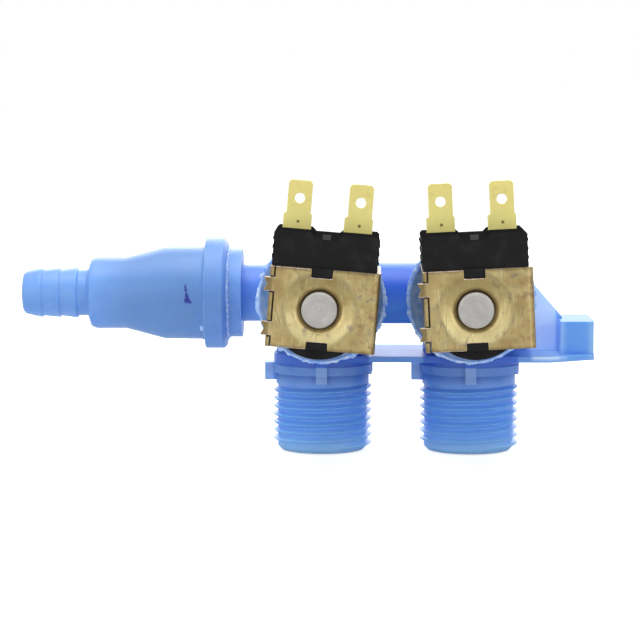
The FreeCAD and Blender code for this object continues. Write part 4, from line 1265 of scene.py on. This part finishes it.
def collar_band(side):
    """The raised band round the top of a spigot, with small round edges."""
    section = [(-1.5, 12.0), (-1.5, 13.75), (-3.8, 13.75), (-3.8, 12.0)]
    bm = spun(section, "Z", steps=112, round_mm=0.12)
    bmesh.ops.transform(bm, matrix=on_inlet(side), verts=bm.verts)
    return bm


def hose_thread(side):
    """One helical ridge on a spigot, whose ends fade out."""
    bm = bmesh.new()
    sunk = THREAD_ROOT - 0.25
    start = THREAD_LOWEST - THREAD_PITCH * THREAD_RUN_OUT / math.tau
    section = [
        (sunk, -0.98),
        (THREAD_ROOT + 0.1, -0.84),
        (THREAD_CREST - 0.16, -0.24),
        (THREAD_CREST, -0.1),
        (THREAD_CREST, 0.1),
        (THREAD_CREST - 0.16, 0.24),
        (THREAD_ROOT + 0.1, 0.84),
        (sunk, 0.98),
    ]
    ring = [bm.verts.new((r, 0, z + start)) for r, z in section]
    first = bm.faces.new(ring)
    bmesh.ops.rotate(
        bm, verts=ring, cent=(0, 0, 0), matrix=Matrix.Rotation(-THREAD_RUN_OUT, 3, "Z")
    )
    bmesh.ops.spin(
        bm,
        geom=[first],
        cent=(0, 0, 0),
        axis=(0, 0, 1),
        dvec=(0, 0, THREAD_PITCH * THREAD_SPIN / math.tau / THREAD_STEPS),
        angle=THREAD_SPIN,
        steps=THREAD_STEPS,
        use_duplicate=False,
    )
    bmesh.ops.remove_doubles(bm, verts=bm.verts, dist=0.0005)
    bmesh.ops.recalc_face_normals(bm, faces=bm.faces)
    for vert in bm.verts:
        reach = Vector((vert.co.x, vert.co.y)).length
        round_part = (math.atan2(vert.co.y, vert.co.x) + THREAD_RUN_OUT) / math.tau % 1.0
        climbed = (vert.co.z - start) / THREAD_PITCH
        travelled = (round_part + round(climbed - round_part)) * math.tau
        share = min(travelled, THREAD_SPIN - travelled) / THREAD_RUN_OUT
        share = min(1.0, max(0.0, share))
        wanted = sunk + (reach - sunk) * math.sin(share * math.pi / 2)
        vert.co.x *= wanted / reach
        vert.co.y *= wanted / reach
    bmesh.ops.transform(bm, matrix=on_inlet(side), verts=bm.verts)
    return bm



# %% [markdown]
# The manifold keeps its own measured form, softened at its corners. The threads are one
# with it: a union joins them, because light that scatters inside a plastic piece stops at
# the piece's own skin, and a thread that only overlapped the spigot would look dirty.

# %% Manifold
def unite(mesh, others):
    """Join closed shapes to a mesh, so that no skin is left between them."""
    base = bpy.data.objects.new("joining", mesh)
    bpy.context.scene.collection.objects.link(base)
    helpers = []
    for bm in others:
        other = bpy.data.meshes.new("joining_part")
        bm.to_mesh(other)
        bm.free()
        helper = bpy.data.objects.new("joining_part", other)
        bpy.context.scene.collection.objects.link(helper)
        helpers.append(helper)
        union = base.modifiers.new("union", "BOOLEAN")
        union.operation = "UNION"
        union.solver = "EXACT"
        union.object = helper
    bpy.context.view_layer.update()
    seen = base.evaluated_get(bpy.context.evaluated_depsgraph_get())
    joined = bmesh.new()
    joined.from_mesh(seen.data)
    for helper in [base, *helpers]:
        spent = helper.data
        bpy.data.objects.remove(helper)
        bpy.data.meshes.remove(spent)
    return joined


bm = softened("valve_body", 0.3, segments=2)
mesh = bpy.data.meshes.new("manifold_body")
bm.to_mesh(mesh)
bm.free()
additions = [make(side) for side in INLET_X for make in (hose_thread, collar_band)]
bm = unite(mesh, additions)
bmesh.ops.remove_doubles(bm, verts=bm.verts, dist=0.002 * MM)
for face in bm.faces:
    face.smooth = True
for edge in bm.edges:
    edge.smooth = len(edge.link_faces) == 2 and edge.calc_face_angle(0) < math.radians(40)
open_edges = [e for e in bm.edges if len(e.link_faces) != 2]
print("manifold open edges:", len(open_edges))
manifold = finish_piece(
    "manifold_moulding", bm, [blue], instead_of=["valve_body"]
)
print("manifold faces:", len(manifold.data.polygons))

# %% [markdown]
# Each solenoid has the same parts, and they turn together about its axis. The guide tube is
# spun anew, because its button shows the marks of its mould: a small gate nib in the middle
# and two shallow rings.

# %% Guide tubes
guide_section = [
    (-46.3, 0.0),
    (-46.3, 0.3),
    (-46.12, 0.5),
    (-46.12, 1.85),
    (-46.04, 2.0),
    (-46.04, 2.35),
    (-46.12, 2.5),
    (-46.12, 3.9),
    (-46.0, 4.35),
    (-45.7, 4.6),
    (-18.0, 4.6),
    (-18.0, 16.4),
    (-16.0, 16.4),
    (-16.0, 15.2),
    (-12.4, 15.2),
    (-12.4, 12.8),
    (-16.0, 12.8),
    (-16.0, 3.8),
    (-44.5, 3.8),
    (-44.5, 0.0),
]
for side in INLET_X:
    bm = spun(guide_section, "Y", steps=80)
    for edge in bm.edges:
        if len(edge.link_faces) == 2 and edge.calc_face_angle(0) > math.radians(40):
            edge.smooth = False
    bmesh.ops.transform(bm, matrix=on_coil(side), verts=bm.verts)
    finish_piece(
        f"guide_tube_moulding_{side}",
        bm,
        [guide],
        instead_of=[f"guide_tube_{side}"],
    )
print("guide tubes:", len(guide_section), "points in the section")

# %% [markdown]
# The coil casings, the folded brackets and the terminals keep their solids' forms with
# corners softened as each was made: moulded corners are round, stamped ones nearly sharp.

# %% Coils, brackets and terminals
def mark_sheared(bm, side):
    """Give the sheet's sheared edges the second finish and its joint slots the third."""
    turned = on_coil(side).to_3x3().normalized().inverted()
    to_local = on_coil(side).inverted()
    for face in bm.faces:
        spot = to_local @ face.calc_center_median()
        facing = turned @ face.normal
        if abs(facing.z) > 0.35 and math.hypot(spot.x, spot.z) > 7.5:
            in_slot = spot.x < -11.8 and abs(spot.z) < 8.5 and abs(abs(spot.z) - 5.7) > 1.86
            face.material_index = 2 if in_slot else 1


HEAD_SHIFT = 0.45
HEAD_HALF_WIDTH = 13.5
RIB_RISES = (12.7, 15.0, 17.3)


def add_block(bm, size, centre, corner_mm, matrix):
    """Add a small block with rounded corners to a piece."""
    verts = bmesh.ops.create_cube(bm, size=1.0)["verts"]
    bmesh.ops.scale(bm, vec=size, verts=verts)
    edges = list({e for v in verts for e in v.link_edges})
    made = bmesh.ops.bevel(
        bm,
        geom=edges,
        offset=corner_mm,
        offset_type="OFFSET",
        affect="EDGES",
        segments=2,
        profile=0.5,
        clamp_overlap=True,
        material=-1,
    )
    rounded = {v for f in made["faces"] for v in f.verts}
    rounded |= {v for v in verts if v.is_valid}
    verts = list(rounded)
    bmesh.ops.translate(bm, vec=centre, verts=verts)
    bmesh.ops.transform(bm, matrix=matrix, verts=verts)
    for face in {f for v in verts for f in v.link_faces}:
        face.smooth = True


def add_ribs(bm, side):
    """Small grip ribs down both sides of a coil's head, and a pad in the dip of its top."""
    for hand in (-1, 1):
        for rise in RIB_RISES:
            centre = (HEAD_SHIFT + hand * HEAD_HALF_WIDTH, -31.5, rise)
            add_block(bm, (0.6, 20.0, 1.0), centre, 0.22, on_coil(side))
    high = [v.co.y for v in bm.verts if (on_coil(side).inverted() @ v.co).z > 17]
    length = (max(high) - min(high)) / MM - 0.3
    middle = (max(high) + min(high)) / 2 / MM
    add_block(bm, (6.2, length, 1.0), (HEAD_SHIFT, middle, 18.0), 0.15, on_coil(side))


for side in INLET_X:
    bm = softened(f"coil_{side}", 0.35, segments=3)
    add_ribs(bm, side)
    bm.normal_update()
    turned = on_coil(side).to_3x3().normalized().inverted()
    to_local = on_coil(side).inverted()
    for face in bm.faces:
        rise = (to_local @ face.calc_center_median()).z
        if (turned @ face.normal).z > 0.2 and rise > 17:
            face.material_index = 1
    ready = set(bm.faces)
    add_block(bm, (2.2, 0.8, 1.3), (HEAD_SHIFT, -43.35, 18.5), 0.2, on_coil(side))
    for face in set(bm.faces) - ready:
        face.material_index = 2
    finish_piece(
        f"coil_casing_{side}",
        bm,
        [black, black_top_shaded, gate_mark],
        instead_of=[f"coil_{side}"],
    )
    bm = softened(f"bracket_{side}", 0.2, segments=2)
    mark_sheared(bm, side)
    finish_piece(
        f"bracket_sheet_{side}",
        bm,
        [plating[side], sheared, slot_shade],
        instead_of=[f"bracket_{side}"],
    )
    for end in ("one", "two"):
        bm = softened(f"terminal_{side}_{end}", 0.08, segments=2)
        hand = -1 if end == "one" else 1
        dimple = bmesh.ops.create_uvsphere(bm, u_segments=16, v_segments=8, radius=0.42)["verts"]
        bmesh.ops.scale(bm, vec=(1.0, 0.35, 1.0), verts=dimple)
        bmesh.ops.translate(bm, vec=(HEAD_SHIFT + hand * 7.95, -31.9, 21.4), verts=dimple)
        bmesh.ops.transform(bm, matrix=on_coil(side), verts=dimple)
        for face in {f for v in dimple for f in v.link_faces}:
            face.smooth = True
            face.material_index = 1
        finish_piece(
            f"spade_{side}_{end}",
            bm,
            [brass, punched],
            instead_of=[f"terminal_{side}_{end}"],
        )

# %% [markdown]
# A spring of wire sits between the closed end of each tube and its armature, and loses 2.5 mm
# of its length when the coil pulls the armature in. So each is a piece of its own, with its own
# copy of the mesh.

# %% Armature springs
for side in INLET_X:
    bm = bmesh.new()
    bm.from_mesh(nodes[f"armature_spring_{side}"].data)
    bmesh.ops.remove_doubles(bm, verts=bm.verts, dist=0.002 * MM)
    for face in bm.faces:
        face.smooth = True
    spring = finish_piece(
        f"tube_spring_{side}",
        bm,
        [spring_wire],
        instead_of=[f"armature_spring_{side}"],
    )
    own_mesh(spring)

# %% [markdown]
# Everything else keeps its own mesh and gets its finish.

# %% Finishes on the solids that stay
staying = {
    "flow_washer": rubber,
    "inlet_screen": nylon,
    "diaphragm_insert": nylon,
    "diaphragm": rubber,
    "armature_tip": rubber,
    "armature": turned_steel,
    "bobbin": nylon,
    "winding": copper,
}
for name, node in nodes.items():
    stem = name.removesuffix("_left").removesuffix("_right")
    finish = staying.get(stem)
    if stem == "flux_sleeve":
        finish = plating[name.removeprefix("flux_sleeve_")]
    if finish:
        node.data.materials.clear()
        node.data.materials.append(finish)
print("kinds of solid that stay:", len(staying))

# %% [markdown]
# The floor is a plain pale sheet just under the inlets' ends. It takes the soft shadow, and
# adds light of its own for the camera alone, so that it shows as white as the backdrop while
# it throws only a little light up at the valve.

# %% Floor
bm = bmesh.new()
bmesh.ops.create_grid(bm, x_segments=1, y_segments=1, size=6.0)
bmesh.ops.translate(bm, vec=(0, 0, -25.6 * MM), verts=bm.verts)
mesh = bpy.data.meshes.new("floor")
bm.to_mesh(mesh)
bm.free()
floor = bpy.data.objects.new("floor", mesh)
bpy.context.scene.collection.objects.link(floor)
paper = bpy.data.materials.new("matt_white_paper")
paper.use_nodes = True
tree = paper.node_tree
tree.nodes.remove(tree.nodes["Principled BSDF"])
place = add(tree, "TexCoord", out="Object")
fibres = add(tree, "TexNoise", {"Vector": place, "Scale": per(0.4), "Detail": 3.0})
tone = add(
    tree, "Mix", {0: fibres, 6: linear("#E4E4E4"), 7: linear("#E9E9E9")}, out=2, data_type="RGBA"
)
matt = add(tree, "BsdfDiffuse", {"Color": tone})
seen = add(tree, "LightPath", out="Is Camera Ray")
strength = add(tree, "Math", {0: seen, 1: 0.75}, operation="MULTIPLY")
own = add(tree, "Emission", {"Strength": strength})
both = add(tree, "AddShader", {0: matt, 1: own})
tree.links.new(both, tree.nodes["Material Output"].inputs["Surface"])
mesh.materials.append(paper)
print("floor at", round(mesh.vertices[0].co.z / MM, 1), "mm")

# %% [markdown]
# The light is a plain studio tent: a white surround, a large soft lamp above, one behind that
# shines through the thin plastic, and a weak one on either side of the camera. What the
# camera sees of the surround is pure white. A glossy surface sees it too, and sees the room
# behind the camera as darker, which gives the plated sheets their depth and keeps the black
# casings black.

# %% World and lamps
world = bpy.data.worlds.new("tent")
bpy.context.scene.world = world
world.use_nodes = True
tree = world.node_tree
way = add(tree, "TexCoord", out="Generated")
level = add(tree, "SeparateXYZ", {0: way}, out="Z")
ahead = add(tree, "SeparateXYZ", {0: way}, out="Y")
room = add(
    tree,
    "MapRange",
    {"Value": ahead, "From Min": -0.9, "From Max": 0.1, "To Min": 0.52, "To Max": 1.0},
)
overhead = add(
    tree,
    "MapRange",
    {"Value": level, "From Min": 0.05, "From Max": 0.7, "To Min": 0.0, "To Max": 0.9},
)
mirrored = add(tree, "Math", {0: room, 1: overhead}, operation="ADD")
camera_ray = add(tree, "LightPath", out="Is Camera Ray")
glossy_ray = add(tree, "LightPath", out="Is Glossy Ray")
clear_ray = add(tree, "LightPath", out="Is Transmission Ray")
white = add(tree, "Math", {0: camera_ray, 1: clear_ray}, operation="MAXIMUM")
DIFFUSE_LEVEL = 0.38
strength = add(tree, "Mix", {0: glossy_ray, 2: DIFFUSE_LEVEL, 3: mirrored})
strength = add(tree, "Mix", {0: white, 2: strength, 3: 1.0})
tree.links.new(strength, tree.nodes["Background"].inputs["Strength"])
tree.nodes["Background"].inputs["Color"].default_value = (1, 1, 1, 1)


def soft_lamp(name, place, aim, size, watts):
    """A square soft lamp that points at a spot."""
    data = bpy.data.lights.new(name, "AREA")
    data.shape = "SQUARE"
    data.size = size
    data.energy = watts
    lamp = bpy.data.objects.new(name, data)
    lamp.location = place
    lamp.rotation_euler = (Vector(aim) - Vector(place)).to_track_quat("-Z", "Y").to_euler()
    bpy.context.scene.collection.objects.link(lamp)
    return lamp


MIDDLE = (-0.02, 0.0, 0.012)
soft_lamp("top_lamp", (-0.05, -0.15, 0.85), MIDDLE, 0.7, 5.2)
soft_lamp("left_lamp", (-0.6, -0.85, 0.14), MIDDLE, 0.5, 1.8)
soft_lamp("right_lamp", (0.6, -0.85, 0.14), MIDDLE, 0.5, 1.7)
soft_lamp("back_lamp", (0.0, 0.8, 0.25), MIDDLE, 0.8, 5.0)
print("lamps:", len(bpy.data.lights))

# %% [markdown]
# The photograph was taken with a long lens from about two thirds of a metre, a little above
# the valve and a little to its right. A long lens keeps the far pipe and the near buttons at
# almost one scale.

# %% Camera
LENS_PIXELS = 2450
PICTURE_PIXELS = 640
SENSOR_MM = 36.0
ELEVATION = math.radians(5.8)
AZIMUTH = math.radians(1.15)
DISTANCE = 0.6703
AIM = Vector((-20.7, 0, 10.1)) * MM
camera_data = bpy.data.cameras.new("camera")
camera_data.lens = LENS_PIXELS / PICTURE_PIXELS * SENSOR_MM
camera_data.sensor_width = SENSOR_MM
camera_data.clip_start = 0.01
camera = bpy.data.objects.new("camera", camera_data)
bpy.context.scene.collection.objects.link(camera)
back = Vector(
    (
        math.sin(AZIMUTH) * math.cos(ELEVATION),
        -math.cos(AZIMUTH) * math.cos(ELEVATION),
        math.sin(ELEVATION),
    )
)
camera.location = AIM + back * DISTANCE
camera.rotation_euler = (-back).to_track_quat("-Z", "Y").to_euler()
bpy.context.scene.camera = camera
bpy.context.scene.view_settings.view_transform = "Standard"
print("lens:", round(camera_data.lens, 1), "mm, from", DISTANCE, "m")
